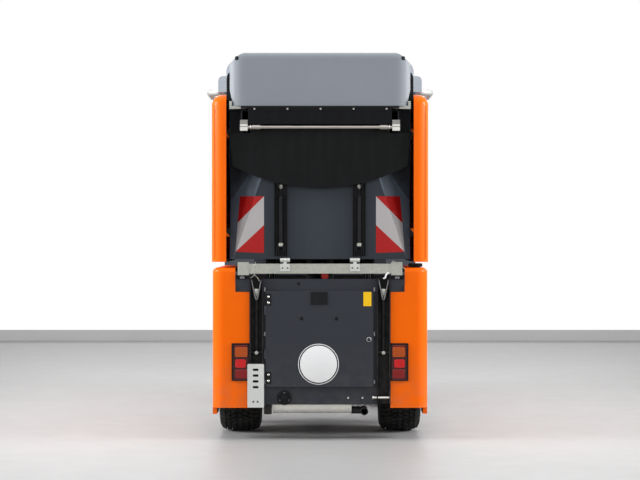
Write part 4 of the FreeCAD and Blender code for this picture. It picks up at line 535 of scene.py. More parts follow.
bright_steel = drawn_steel("bright_steel", (212, 210, 204))
chrome = drawn_steel("chrome_rod", (235, 235, 236), roughness=0.12)
# The muffler's pale zinc is set lighter still: partly painted light, for light thrown up from the floor
silencer = zinc("silencer_steel", (244, 242, 234), 0.03)
flap_sheet = plastic_sheet("flap_sheet", (17, 18, 19))
rubber = plastic_sheet("rubber", (16, 17, 20), roughness=0.6)
black_plastic = plastic_sheet("black_plastic", (27, 28, 30), roughness=0.42)
grained_plastic = plastic_sheet("grained_plastic", (44, 46, 49), roughness=0.6, depth=0.3)
tyre_rubber = tyre_compound("tyre_rubber")
rim_paint = lacquer("rim_paint", (186, 188, 190), roughness=0.35, dust=0.4, reach=0.6)
tinted_glass = window("tinted_glass", (206, 222, 218))
seat_vinyl = vinyl("seat_vinyl", (42, 43, 46))
bristle = bristle_stuff("bristle", (116, 104, 82))
amber_lens = lamp_glass("amber_lens", (214, 92, 10), glow=0.03)
red_lens = lamp_glass("red_lens", (160, 20, 20), glow=0.02)
bright_red_lens = lamp_glass("bright_red_lens", (235, 26, 30), glow=0.08)
smoked_lens = lamp_glass("smoked_lens", (84, 22, 18))
clear_lens = window("clear_lens", (238, 242, 244), roughness=0.06)
film_red = retro_film("film_red", (192, 22, 22))
film_white = retro_film("film_white", (204, 199, 200))
sign_white = retro_film("sign_white", (240, 241, 242))
sign_black = lacquer("sign_black", (20, 20, 22), roughness=0.4, dust=0.0)
label_yellow = lacquer("label_yellow", (246, 196, 20), roughness=0.4, dust=0.0)
red_plastic = lacquer("red_plastic", (190, 40, 38), roughness=0.4, dust=0.0)
mirror_face = drawn_steel("mirror_face", (240, 242, 244), along=GRAIN_FREE, roughness=0.09)

NODE_LOOKS = (
    (orange, "rear_side_covers hopper_side_covers cab_shell door_left door_right"),
    (slate, "hopper_shell"),
    (hatch_grey, "rear_bulkhead engine_hatch beam_brackets"),
    (shell_grey, "hopper_cap cab_roof"),
    (black_coat, "rear_frame channel_posts post_struts strut_channels strut_barrels strut_rods"),
    (black_coat, "tilt_barrels front_frame lift_frame brush_arm_left brush_arm_right"),
    (dark_cast, "rear_axle front_axle"),
    (engine_cast, "engine_block"),
    (galvanised, "hinge_beam"),
    (plated, "foot_plate"),
    (bar_steel, "flap_bar"),
    (chrome, "tilt_rods"),
    (silencer, "muffler"),
    (flap_sheet, "rear_flap"),
    (rubber, "flap_seal suction_bellows"),
    (black_plastic, "tail_lamps suction_pipe inlet_duct suction_mouth steering_wheel mirrors"),
    (grained_plastic, "seat_base dashboard"),
    (tinted_glass, "cab_glass door_glass_left door_glass_right"),
    (clear_lens, "headlamps"),
    (seat_vinyl, "seat"),
    (bristle, "brush_left brush_right"),
    (tyre_rubber, "tyre_rear_left tyre_rear_right tyre_front_left tyre_front_right"),
    (rim_paint, "rim_rear_left rim_rear_right rim_front_left rim_front_right"),
)
for look, names in NODE_LOOKS:
    for node_name in names.split():
        for slot in nodes[node_name].material_slots:
            slot.material = look


def repaint(node_name, material, chosen):
    """Give another material to the faces of a node that are chosen by their middle, in
    millimetres, and their normal."""
    thing = nodes[node_name]
    thing.data.materials.append(material)
    place = thing.matrix_world
    turn = place.to_3x3()
    for face in thing.data.polygons:
        if chosen(place @ face.center / MM, turn @ face.normal):
            face.material_index = len(thing.data.materials) - 1


def faces_inward(middle, normal):
    """Whether a face of a side panel looks to the vehicle's middle."""
    return normal.x * middle.x < 0 and abs(normal.x) > 0.3


# Limits by which the repainted faces are chosen

COVER_EDGE, COVER_LINING = 469.5, 532
HINGE_X, LEAF_DEPTH = 175, 8.1
LATCH_X = -4
SLEEVE_X = 320
BAR_HEIGHT = 1567
BAR_END = 361.9
CAB_INSIDE = (-320, 900)
MIRROR_ARM = 1840
TAILPIPE_FROM = 165
SILL_TOP, HEADER_LOW, FACET_TOP = 915, 1645, 1420

repaint("hopper_side_covers", black_plastic, lambda middle, normal: abs(middle.x) < COVER_EDGE
        or (faces_inward(middle, normal) and abs(middle.x) < COVER_LINING))
repaint("rear_side_covers", black_plastic, lambda middle, normal: faces_inward(middle, normal)
        and 360 < abs(middle.x) < 525 and middle.y > REAR + 30)
# Painted shade: the cab's rearward faces take the dark hatch grey for the shade under the hopper
repaint("cab_shell", hatch_grey, lambda middle, normal: normal.y < -0.5 and middle.y < 0)
repaint("cab_shell", grained_plastic, lambda middle, normal:
        (normal.y > 0.5 and CAB_INSIDE[0] < middle.y < -100) or (faces_inward(middle, normal)
        and abs(middle.x) < 545 and CAB_INSIDE[0] < middle.y < CAB_INSIDE[1]))
for door in ("door_left", "door_right"):
    repaint(door, grained_plastic, lambda middle, normal: normal.x * middle.x < 0 and abs(normal.x) > 0.7)
repaint("mirrors", plated, lambda middle, normal: middle.z > MIRROR_ARM)
repaint("muffler", dark_cast, lambda middle, normal: middle.x > TAILPIPE_FROM)
repaint("hinge_beam", plated, lambda middle, normal: middle.y < REAR + LEAF_DEPTH
        and abs(abs(middle.x) - HINGE_X) < 25)
repaint("hopper_shell", plated, lambda middle, normal: middle.y < REAR + 30 and middle.z < SILL_TOP)
# Painted shade: the hopper's rear faces under the cap take black coat for the shade in the recess there
repaint("hopper_shell", black_coat, lambda middle, normal: middle.y < REAR + 110
        and middle.z > HEADER_LOW)
# Painted highlight: the slanted facets at the hopper's corners take the lighter slate
repaint("hopper_shell", slate_painted_highlight, lambda middle, normal: normal.y < -0.3 and abs(normal.x) > 0.3
        and middle.z < FACET_TOP)
# Painted shade: the latch pocket in the hatch takes black plastic for the handle's shadow in the recess
repaint("engine_hatch", black_plastic, lambda middle, normal: middle.y < REAR + 3.8
        and abs(middle.x - LATCH_X) < 43 and 670 < middle.z < 745)
repaint("flap_bar", clamp_block, lambda middle, normal: abs(middle.x) > BAR_END)
repaint("rear_flap", bar_steel, lambda middle, normal: abs(middle.z - BAR_HEIGHT) < 14
        and abs(abs(middle.x) - SLEEVE_X) < 21 and middle.y < REAR + 30)


# Camera, light and floor

CAMERA_BEHIND = 10.0
CAMERA_HEIGHT = 1.002
SENSOR_WIDTH = 36.0
LENS = 112.5
FLOOR_HALF = 30
FLOOR_NEAR = -25
WALL = 7.95
SKIRTING = 0.11
SHADOW_LINE_WIDTH = 0.3
FILM = 0.001

camera = new_object("camera", bpy.data.cameras.new("camera"))
camera.data.lens = LENS
camera.data.sensor_width = SENSOR_WIDTH
camera.location = (0, REAR * MM - CAMERA_BEHIND, CAMERA_HEIGHT)
camera.rotation_euler = (math.radians(90), 0, 0)
bpy.context.scene.camera = camera
bpy.context.scene.view_settings.view_transform = "Standard"


def add_stage(name, dark, light, corners, scale=2.0, detail=3.0, specular=0.2):
    """A surface of the studio between two tones, and its look to work on."""
    look = Paint(name, specular=specular)
    look.base(look.blend(look.spread(look.noise(scale, detail)), tinted(dark), tinted(light)))
    mesh = bpy.data.meshes.new(name)
    mesh.from_pydata(corners, [], [(0, 1, 2, 3)])
    mesh.materials.append(look.material)
    new_object(name, mesh)
    return look


def add_area(name, place, target, size, power):
    """A rectangular lamp that shines at a target."""
    lamp = bpy.data.lights.new(name, "AREA")
    lamp.shape = "RECTANGLE"
    lamp.size, lamp.size_y = size
    lamp.energy = power
    thing = new_object(name, lamp)
    thing.location = place
    thing.rotation_euler = (Vector(target) - Vector(place)).to_track_quat("-Z", "Y").to_euler()


def strip(near, low, far, high):
    """The corners of a strip right across the studio, from one line to another."""
    return [(-FLOOR_HALF, near, low), (FLOOR_HALF, near, low),
            (FLOOR_HALF, far, high), (-FLOOR_HALF, far, high)]


floor = add_stage("floor", (162, 162, 162), (165, 165, 165), strip(FLOOR_NEAR, 0, WALL, 0), 1.2, 4.0, 0.14)
floor.rough(floor.noise(6.0, 5.0), 0.47, 0.53)
add_stage("skirting", (192, 192, 193), (196, 196, 197), strip(WALL, 0, WALL, SKIRTING))
# A darker band of floor at the foot of the wall: a painted shadow line
add_stage("floor_shadow_line", (138, 138, 138), (142, 142, 142), strip(WALL - SHADOW_LINE_WIDTH, FILM, WALL, FILM))


def white_world(bright=1.0, dim=0.22):
    """A white backdrop that is bright to the camera and in reflections, and dim as a light."""
    world = bpy.data.worlds.new("world")
    bpy.context.scene.world = world
    world.use_nodes = True
    tree = world.node_tree
    backdrop = tree.nodes["Background"]
    backdrop.inputs["Color"].default_value = (1, 1, 1, 1)
    rays = tree.nodes.new("ShaderNodeLightPath")
    seen = rays.outputs["Is Camera Ray"]
    for kind in ("Is Glossy Ray", "Is Transmission Ray"):
        larger = tree.nodes.new("ShaderNodeMath")
        larger.operation = "MAXIMUM"
        tree.links.new(seen, larger.inputs[0])
        tree.links.new(rays.outputs[kind], larger.inputs[1])
        seen = larger.outputs["Value"]
    level = tree.nodes.new("ShaderNodeMapRange")
    tree.links.new(seen, level.inputs["Value"])
    level.inputs["To Min"].default_value = dim
    level.inputs["To Max"].default_value = bright
    tree.links.new(level.outputs["Result"], backdrop.inputs["Strength"])


white_world()
add_area("overhead", (0, -0.5, 6.0), (0, -0.3, 0), (7.0, 9.0), 205)
for side, power in ((-1, 500), (1, 460)):
    add_area("side_wall_%d" % side, (side * 6.0, -2.6, 3.2), (0, -1.6, 1.3), (3.2, 2.6), power)
    add_area("rear_corner_%d" % side, (side * 8.0, -8.5, 2.6), (0, -1.8, 1.0), (3.0, 3.0), 115)
add_area("behind_camera", (0, -13.0, 4.0), (0, -1.9, 0.9), (6.0, 3.0), 102)
add_area("front_fill", (0, 9.0, 3.5), (0, 1.0, 0.8), (7.0, 3.5), 200)


# Small fittings of the rear module

LAMP_FACE = REAR + 5
POST_X = 318
MUFFLER_LEFT = -281
PIN_WIRE, PIN_CLIP, BAIL_WIRE = 1.4, 4.2, 3.6
BEAM_DEPTH = 5
HATCH_DEPTH = 3.6
DISC_X, DISC_Z = -7.5, 381


def behind(x, depth, z):
    """A spot at a depth ahead of the rear face."""
    return (x, REAR + depth, z)


def add_screws(name, spots, direction, body, radius=6, height=3, material=bright_steel):
    """Domed screw heads, each with a socket."""
    profile = [(radius, 0), (radius, height * 0.5), (radius * 0.82, height), (radius * 0.45, height),
               (radius * 0.42, height * 0.4), (0, height * 0.4)]
    turned(name, body, material, spots, direction, profile, 16)


def tail_lamp_lenses():
    """Four lenses on each dark red ground: a red band, amber, a bright red square and red."""
    lenses = (("band", (363, 468.5), (428, 474.5), red_lens),
              ("upper", (363, 416.5), (425, 466.5), amber_lens),
              ("middle", (371.5, 363), (423.5, 405), bright_red_lens),
              ("lower", (363, 309), (423, 355), red_lens))
    for side, name in SIDES:
        for part, low, high, material in lenses:
            outline = mirrored(round_outline(low, high, min(9, (high[1] - low[1]) * 0.45)), side)
            plate("tail_lens_%s_%s" % (part, name), "rear", material, [outline], LAMP_FACE - 4.5, LAMP_FACE,
                  smooth=40, bevel=1.5)
        ground = mirrored(round_outline((358, 300), (434, 477), 8), side)
        plate("tail_lamp_ground_" + name, "rear", smoked_lens, [ground], LAMP_FACE - 1, LAMP_FACE)


def post_fittings():
    """A wire bail, a bright cone and a pin at the head and foot of the rod in each post."""
    bail = ((293, 803), (299, 775), (312, 712), (318, 704), (324, 712), (338, 775), (344, 803))
    for side, name in SIDES:
        wire("wire_bail_" + name, "rear", dull_steel, [[behind(side * x, 10, z) for x, z in bail]],
             BAIL_WIRE, 10, rounded=4)
        turned("bail_cone_" + name, "rear", galvanised, [behind(side * POST_X, 20, 757)], DOWN,
               [(12.5, 0), (13.5, 4), (13.5, 14), (9, 30), (3, 42), (0, 44)], smooth=30)
        turned("rod_foot_pin_" + name, "rear", galvanised, [behind(side * POST_X, 24, 437)], BACKWARD,
               [(10, 0), (10, 12), (8.5, 15), (4, 16), (0, 16)], 20, 30)
    turned("post_cross_pin", "rear", bright_steel, [behind(262, 12, 213)], RIGHTWARD,
           [(9, 0), (9, 5), (6.2, 6), (6.2, 86), (9, 87), (9, 91)], 20, 30)


def sill_fittings():
    """The round knob, the screws of the sill and the two holes at the foot plate's lower end."""
    # Painted shade: thin black discs stand for the dark inside the two holes
    turned("foot_plate_holes", "rear", sign_black, [behind(x, 0.2, 193) for x in (-333.5, -312)],
           BACKWARD, [(4.8, 0), (4.8, 0.3), (0, 0.3)], 20, None)
    x, y, z = behind(-179, 23.5, 212)
    bm = bmesh.new()
    put_lathe(bm, (x, y, z), BACKWARD,
              [(37, 0), (37, 10), (34, 14), (30, 15), (28, 12), (14, 12), (12, 17), (0, 18)], 40)
    for near, far in zip(around(6, 12, 30), around(6, 31, 30)):
        put_tube(bm, [(x + along, y - 13.5, z + up) for along, up in (near, far)], 2.8, 8)
    add_piece("sill_knob", bm, black_plastic, "rear", smooth=35)
    add_screws("sill_knob_dots", [(x + along, y - 14.5, z + up) for along, up in around(3, 25, 90)],
               BACKWARD, "rear", 3, 1)
    add_screws("sill_screws", [behind(x, 22, 211) for x in (141, 213)], BACKWARD, "rear", 5.5)


def beam_fittings():
    """The beam's wires, clip, bolts and pads, the filler cap, a red knob and the muffler's hanger."""
    runs = [[behind(x, BEAM_DEPTH, z) for x, z in points] for points in (
        ((-322, 893), (-326, 880), (-338, 850), (-328, 828), (-348, 812)),
        ((-328, 828), (-312, 812), (-303, 796)),
        ((362, 897), (392, 884), (418, 862)),
        ((346, 836), (336, 834), (329, 822), (325, 812), (316, 810)))]
    runs[2].append(behind(430, BEAM_DEPTH + 20, 848))
    wire("pin_wires", "rear", galvanised, runs[:3], PIN_WIRE, rounded=6)
    wire("pin_clip", "rear", sign_white, runs[3:], PIN_CLIP, 10, rounded=6)
    x, y, z = behind(482, 110, 863.5)
    bm = bmesh.new()
    put_lathe(bm, (x, y, z), UP,
              [(26, 0), (26, 3), (34, 4), (34.5, 18), (32, 21), (12, 21.5), (0, 21.5)], 36)
    for along, ahead in around(24, 34.5):
        put_tube(bm, [(x + along, y + ahead, z + 5), (x + along, y + ahead, z + 17)], 1.3, 6)
    add_piece("filler_cap", bm, black_plastic, "rear", smooth=35)
    turned("red_knob", "rear", red_plastic, [behind(24, 92, 822)], BACKWARD,
           [(8, 0), (8, 30), (19, 32), (19, 42), (16, 45), (0, 46)], 28)
    turned("block_bolts", "rear", dull_steel, [behind(x, 14.5, 807) for x in (-389.5, 386.5)], UP,
           [(11, 0), (13.5, 2), (13.5, 11), (11.5, 13), (0, 13)])
    blocks("block_pads", "rear", rubber, [(behind(low, 7.2, 806), behind(high, 9.8, 825.5))
                                          for low, high in ((-421, -355.5), (355.5, 421))])
    add_screws("hinge_leaf_screws", [behind(x + step, 4, 862) for x in (-HINGE_X, HINGE_X)
                                     for step in (-13, 13)], BACKWARD, "rear", 4.5, 2.2, dull_steel)
    plate("muffler_hanger", "rear", black_coat,
          [round_outline((MUFFLER_LEFT, 127.5), (MUFFLER_LEFT + 38.5, 175.5), 4)],
          REAR + 30, REAR + 85, bevel=1.5)


def speed_disc():
    """The round white sign with its black ring; its face stays blank."""
    for name, outer, lift, material in (("rim", 102, 0, sign_white), ("ring", 98.5, 0.6, sign_black),
                                        ("face", 92.5, 1.1, sign_white)):
        turned("speed_disc_" + name, "hatch", material, [behind(DISC_X, 3.8 - lift, DISC_Z)], BACKWARD,
               [(outer, -1), (outer, 0.8), (outer - 0.6, 1), (0, 1)], 96, 40)


def hatch_fittings():
    """Hinge blocks, label, plugs, lock, the ends of the hinge pins and a plug in the rail above."""
    face = REAR + HATCH_DEPTH
    plate("hatch_hinge_blocks", "hatch", black_plastic,
          [round_outline((-271, low), (-245, high), 4) for low, high in ((674, 734), (283, 343))],
          face - 2, face, smooth=40, bevel=0.8)
    add_screws("hatch_hinge_screws", [(-258, face - 1.5, z) for z in (718, 688, 328, 297)],
               BACKWARD, "hatch", 5.8, 1.8)
    plate("warning_label", "hatch", label_yellow, [round_outline((217, 671), (257, 742), 3)],
          face - 0.6, face)
    turned("hatch_plugs", "hatch", black_plastic, [behind(x, HATCH_DEPTH, 610) for x in (-92, 82)], BACKWARD,
           [(9.5, 0), (9.5, 1), (8, 2.2), (0, 2.4)])
    turned("hatch_lock", "hatch", bright_steel, [behind(245, HATCH_DEPTH, 504)], BACKWARD,
           [(12, 0), (12, 1.2), (10, 2.2), (5, 2.2), (4.5, 1), (0, 1)], 28)
    for name, x, body in (("left", -276.5, "hatch"), ("right", 272, "rear")):
        turned("hatch_pin_ends_" + name, body, dull_steel,
               [behind(x, 6, z - 11) for z in (755, 532, 292)], UP,
               [(2.5, 0), (4.2, 1), (4.2, 21), (2.5, 22)], 16)
    add_screws("rail_plug", [behind(-107, 22, 783)], BACKWARD, "rear", 8, 2, black_plastic)


tail_lamp_lenses()
post_fittings()
sill_fittings()
beam_fittings()
speed_disc()
hatch_fittings()


# Hopper: warning film, struts, screws and the cap's fittings

HOPPER_REAR = REAR + 70
CREASE_X = 300
CREASE_Z = 1302
CREASE_LEAN = 0.3409
FACET_SLOPE = math.tan(math.radians(40))
STRUT_X = 197
STRUT_DEPTH = 52


def facet_depth(x, z):
    """Where the hopper's rear face or the slanted facet at its corner lies."""
    return HOPPER_REAR + max(0.0, FACET_SLOPE * (abs(x) - CREASE_X + CREASE_LEAN * (z - CREASE_Z)))


def facet_film(name, points, material, lift=0.4, thick=0.8):
    """A film on the rear face that is folded over the crease; points are (x, z)."""
    bm = bmesh.new()
    face = bm.faces.new([bm.verts.new((x, 0, z)) for x, z in points])
    side = -1 if points[0][0] < 0 else 1
    bmesh.ops.bisect_plane(bm, geom=[face] + list(face.verts) + list(face.edges),
                           plane_co=(side * CREASE_X, 0, CREASE_Z), plane_no=(side, 0, CREASE_LEAN))
    for vertex in bm.verts:
        vertex.co.y = facet_depth(vertex.co.x, vertex.co.z) - lift - thick
    bmesh.ops.recalc_face_normals(bm, faces=bm.faces)
    extruded = bmesh.ops.extrude_face_region(bm, geom=list(bm.faces))
    for vertex in extruded["geom"]:
        if isinstance(vertex, bmesh.types.BMVert):
            vertex.co.y += thick
    add_piece(name, bm, material, "hopper")


def warning_plates():
    """Red and white film on each side of the rear face, with its slanting stripes."""
    top_out, top_in = (405, 1223), (282, 1222)
    middle_out, middle_in = (416, 1089), (282, 1077.5)
    low_out, low_in = (426, 942), (282, 937)
    for side, name in SIDES:
        for part, corners, material in (("upper", (top_out, top_in, middle_out), film_red),
                                        ("stripe", (top_in, middle_out, low_out, middle_in), film_white),
                                        ("lower", (middle_in, low_out, low_in), film_red)):
            facet_film("film_%s_%s" % (part, name), mirrored(corners, side), material)


def strut_fittings():
    """The bright socket at each strut's head, the clip at its foot and the clevis below it."""
    for side, name in SIDES:
        x = side * STRUT_X
        turned("strut_socket_" + name, "strut_rods", galvanised, [behind(x, STRUT_DEPTH, 1284)], DOWN,
               [(7, 0), (10.5, 3), (12.2, 8), (12.2, 14), (8.5, 21), (6, 25), (0, 25)], 28, 30)
        turned("strut_clip_" + name, "strut_barrels", galvanised, [behind(x, STRUT_DEPTH, 988)], DOWN,
               [(10.5, 0), (13.5, 2), (13.5, 16), (10.5, 19), (0, 19)], 28, 30)
        plate("strut_clevis_" + name, "hopper", black_coat,
              [[(x + edge * 14.5, 972), (x + edge * 20.5, 972), (x + edge * 30, 924),
                (x + edge * 22.5, 924)] for edge in (-1, 1)],
              REAR + STRUT_DEPTH - 10, HOPPER_REAR - 3, bevel=1)
        add_screws("channel_screws_" + name, [(x + step, HOPPER_REAR - 3, z) for step in (-22, 22)
                                              for z in (1060, 1210)], BACKWARD, "hopper", 5, 2.5, black_coat)


def outlet_fittings():
    """The seal round the outlet with its screws, black strips of painted shade beside the outlet, and the
    wire clips beside the bar's end blocks.
    """
    add_screws("seal_screws", [behind(x, 3, 1658) for x in (-328, -163, 3, 168, 333)],
               BACKWARD, "hopper", 4.8, 2.4, galvanised)
    plate("seal_lip", "hopper", rubber, [round_outline((-352, 1643.5), (352, 1648.5), 2)],
          REAR + 1.8, REAR + 3.2, bevel=0.4)
    for side, name in SIDES:
        clip = [behind(side * x, depth, z) for x, depth, z in ((350, 14, 1581), (347.5, 4, 1574),
                                                               (347.5, 3.5, 1562), (345, 12, 1553))]
        wire("bar_clip_" + name, "hopper", bright_steel, [clip], 2, rounded=5)
        # Painted shade: a black strip on the rear face beside the outlet, for the shade under the cap
        outline = mirrored(round_outline((399, 1300), (453.5, 1655), 8), side)
        plate("outlet_shade_strip_" + name, "hopper", rubber, [outline], HOPPER_REAR - 4,
              HOPPER_REAR - 0.4, bevel=0.8)


def on_cap(x, z):
    """Where a line from the rear first meets the cap, and the way its surface faces there."""
    cap = nodes["hopper_cap"]
    back = cap.matrix_world.inverted()
    start = back @ (Vector((x, REAR - 200, z)) * MM)
    _, place, normal, _ = cap.ray_cast(start, back.to_3x3() @ Vector(FORWARD))
    return cap.matrix_world @ place / MM, cap.matrix_world.to_3x3() @ normal


def cap_fittings():
    """On each side the dark intake with its slats, a flange strip made pale, partly as painted light, and an
    oval plug.
    """
    intake = ((430, 1703.5), (468.5, 1703.5), (469, 1800), (467.5, 1826), (459, 1842), (440, 1842))
    flange = ((343, 1669), (374, 1660), (455, 1658), (455, 1698.5), (442, 1698.5), (442, 1674.5))
    for side, name in SIDES:
        bm = bmesh.new()
        put_prism(bm, mirrored(intake, side), "Y", REAR + 48, REAR + 340)
        low, high = sorted((side * 466, side * 470.5))
        for z in [1740.5 + 14 * k for k in range(6)]:
            put_box(bm, behind(low, 62, z), behind(high, 326, z + 5))
        add_piece("cap_intake_" + name, bm, black_plastic, "hopper", smooth=30)
        # The flange is real; its pale zinc is partly painted light, lifting it out of the cap's shadow
        plate("cap_flange_" + name, "hopper", galvanised, [mirrored(flange, side)], REAR + 24, REAR + 30,
              bevel=1)
        spot, normal = on_cap(side * 417.5, 1913)
        turned("cap_plug_" + name, "hopper", black_plastic, [spot], normal,
               [(10.5, -2), (10.5, 0.6), (9, 1.4), (0, 1)], 28)


warning_plates()
strut_fittings()
outlet_fittings()
cap_fittings()


# Wheels: tyres with tread, wheel nuts and valves

TYRE_RADIUS = 280
TRACK = 415
REAR_AXLE = -1350
FRONT_AXLE = 250
TREAD_DEPTH = 8
TREAD_HALF = 94
LUGS = 56
LUG_ROOT = 2
LUG_TAPER = 1.2
CROWN_DROP, CROWN_HALF = 5, 73.5
SHOULDER, SHOULDER_SLOPE = 78, 0.35
DISC_OUT = 49


def crown(x):
    """The tread's radius at a distance from the tyre's middle."""
    radius = TYRE_RADIUS - CROWN_DROP * (x / CROWN_HALF) ** 2
    return radius - (SHOULDER_SLOPE * (abs(x) - SHOULDER) if abs(x) > SHOULDER else 0)


def put_lug(bm, centre, near, far, turn, span, skew):
    """One tread block between two distances from the middle; skew turns its outer end on."""
    corners = []
    outward = 1 if far > near else -1
    for root, taper in ((TREAD_DEPTH + LUG_ROOT, 0), (0, LUG_TAPER)):
        for x, edge in ((near, 0), (far, 1)):
            for end in (0, 1):
                angle = turn + span * end + skew * edge
                radius = crown(x) - root
                x_in = x + (taper if edge == 0 else -taper) * outward
                corners.append(bm.verts.new((centre[0] + x_in, centre[1] + radius * math.cos(angle),
                                             centre[2] + radius * math.sin(angle))))
    for face in ((4, 5, 7, 6), (0, 1, 5, 4), (2, 3, 7, 6), (0, 2, 6, 4), (1, 3, 7, 5)):
        bm.faces.new([corners[k] for k in face])


def tyre(place, centre):
    """A carcass with ribbed walls and rows of lugs."""
    body = "wheel_" + place
    half = [(166, 84), (171, 90.5), (176, 88.5), (184, 97.5), (190, 96.5),
            (201, 105), (214, 107.2), (216, 106.2), (226, 107.2), (240, 106.6), (250.5, 103.5), (257, 99)]
    half += [(crown(x) - TREAD_DEPTH, x) for x in (TREAD_HALF, 60, 30)]
    profile = [(165.5, -78)] + [(radius, -height) for radius, height in half]
    profile += [(TYRE_RADIUS - TREAD_DEPTH, 0)] + half[::-1] + [(165.5, 78)]
    carcass = turned("tyre_body_" + place, body, tyre_rubber, [centre], RIGHTWARD, profile, 96, 32, True)
    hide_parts("tyre_" + place)
    bm = bmesh.new()
    step = 2 * math.pi / LUGS
    rows = ((-12.5, 12.5, 0.78, 0.0, 0.0), (17.5, 44.5, 0.74, 0.45, 0.5),
            (49.5, 70, 0.74, 0.1, 0.35), (74, TREAD_HALF + 4, 0.66, 0.55, 0.2))
    for k in range(LUGS):
        for near, far, fill, shift, skew in rows:
            put_lug(bm, centre, near, far, (k + shift) * step, fill * step, skew * step)
            if near > 0:
                put_lug(bm, centre, -near, -far, (k + shift + 0.5) * step, fill * step, skew * step)
    lugs = add_piece("tyre_tread_" + place, bm, tyre_rubber, body)


def rim_fittings(place, side, centre):
    """Wheel nuts on the disc, a ring of holes and a valve."""
    body = "wheel_" + place
    outward = (side, 0, 0)
    disc = Vector(centre) + Vector((side * DISC_OUT, 0, 0))
    nuts = [disc + Vector((0, ahead, up)) for ahead, up in around(5, 82, 90)]
    holes = [disc + Vector((-side * 0.4, ahead, up)) for ahead, up in around(10, 122, 18)]
    turned("wheel_nuts_" + place, body, bright_steel, nuts, outward,
           [(17, 0), (17, 3), (12.5, 4), (12.5, 16), (10, 19), (0, 19)], 6, None)
    turned("valve_" + place, body, rubber, [disc + Vector((0, 0, -135))], (side, 0, 0.25),
           [(6, -4), (6, 6), (4, 8), (4, 30), (4.8, 31), (4.8, 40), (0, 41)], 16)
    # Painted shade: thin dark discs stand for the dark seen through the rim's ring of holes
    turned("disc_holes_" + place, body, dark_cast, holes, outward, [(11.5, 0), (11.5, 0.6), (0, 0.6)],
           24, None)


# Brushes: disc, two rows of tufts and a ring of bolts

BRUSH_X = 345
BRUSH_Y = 1570
STRANDS = 15
STRAND_RADIUS = 1.3


def brush(name, side):
    """A disc with two rows of tufts; each strand bends outward to the road."""
    centre = Vector((side * BRUSH_X, BRUSH_Y, 0))
    body = "brush_" + name
    disc = turned("brush_disc_" + name, body, dark_cast, [centre], UP,
                  [(0, 238), (118, 238), (150, 236), (174, 246), (174.5, 262), (168, 270),
                   (120, 273.5), (58, 273.5), (52, 288), (30, 290), (13.8, 291),
                   (13.8, 406.5), (0, 406.5)], 64, 30)
    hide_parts("brush_" + name)
    draw = random.Random(11 if side > 0 else 12).uniform
    bm = bmesh.new()
    for tufts, first, root, reach in ((44, 0.0, 164, 318), (38, 0.5, 142, 282)):
        for turn in [2 * math.pi * (k + first) / tufts for k in range(tufts)]:
            for strand in range(STRANDS):
                angle = turn + draw(-0.035, 0.035)
                start = root + draw(-6, 6)
                tip = reach + draw(-34, 10)
                foot = 6.5 + draw(0, 6)
                swirl = draw(-0.05, 0.05) - 0.06
                points = []
                for part, rise in ((0.0, 242), (0.34, 176), (0.70, 94), (1.0, foot)):
                    radius = start + (tip - start) * (part ** 1.15)
                    bend = angle + swirl * part
                    points.append(centre + Vector((radius * math.cos(bend), radius * math.sin(bend), rise)))
                put_tube(bm, points, STRAND_RADIUS, 3)
    strands = add_piece("brush_bristles_" + name, bm, bristle, body, smooth=80)
    bolts = [centre + Vector((along, ahead, 272.2)) for along, ahead in around(8, 140)]
    add_screws("brush_bolts_" + name, bolts, UP, body, 9, 6)


# The bellows over the articulation

FOLD_PEAK, FOLD_VALLEY, CUFF, BAND = 77.5, 69, 76.8, 78.2
CUFF_RINGS = 4
BAND_HALF = 6
BAND_IN = 12
BEND_REACH = 62
REAR_STEPS, BEND_STEPS, FRONT_STEPS = 32, 20, 20


def bellows():
    """A folded tube round a bend, with a smooth cuff and a steel band at each end."""
    start, bend, end = [Vector((0, y, z)) for y, z in ((-650.5, 769.4), (-418.2, 769.4), (-300.3, 640.3))]
    before = bend + (start - bend).normalized() * BEND_REACH
    after = bend + (end - bend).normalized() * BEND_REACH
    path = [start + (before - start) * k / REAR_STEPS for k in range(REAR_STEPS)]
    for t in [k / BEND_STEPS for k in range(BEND_STEPS)]:
        path.append((1 - t) ** 2 * before + 2 * (1 - t) * t * bend + t * t * after)
    path += [after + (end - after) * k / FRONT_STEPS for k in range(FRONT_STEPS + 1)]
    across = Vector(RIGHTWARD)
    bm = bmesh.new()
    rings = []
    for index, point in enumerate(path):
        upward = step_at(path, index).cross(across).normalized()
        radius = FOLD_PEAK if index % 4 in (0, 1) else FOLD_VALLEY
        if min(index, len(path) - 1 - index) < CUFF_RINGS:
            radius = CUFF
        rings.append(put_ring(bm, point, across, upward, radius, 40))
    join_rings(bm, rings)
    tube = add_piece("bellows", bm, rubber, None, smooth=60)
    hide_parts("suction_bellows")
    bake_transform(tube)
    inner, outer = BAND - 1, BAND
    band = [(inner, -BAND_HALF), (outer, -BAND_HALF), (outer, BAND_HALF), (inner, BAND_HALF)]
    for body, spot, way in (("rear", start + Vector((0, BAND_IN, 0)), FORWARD),
                            ("front", end + (bend - end).normalized() * BAND_IN, bend - end)):
        turned("bellows_band_" + body, body, bright_steel, [spot], way, band, 48, 30)


for row, y in (("rear", REAR_AXLE), ("front", FRONT_AXLE)):
    for side, name in SIDES:
        place = row + "_" + name
        centre = (side * TRACK, y, TYRE_RADIUS)
        tyre(place, centre)
        rim_fittings(place, side, centre)
for side, name in SIDES:
    brush(name, side)
bellows()


# Cab: seals, lamps, mirrors, wiper, controls and the seat

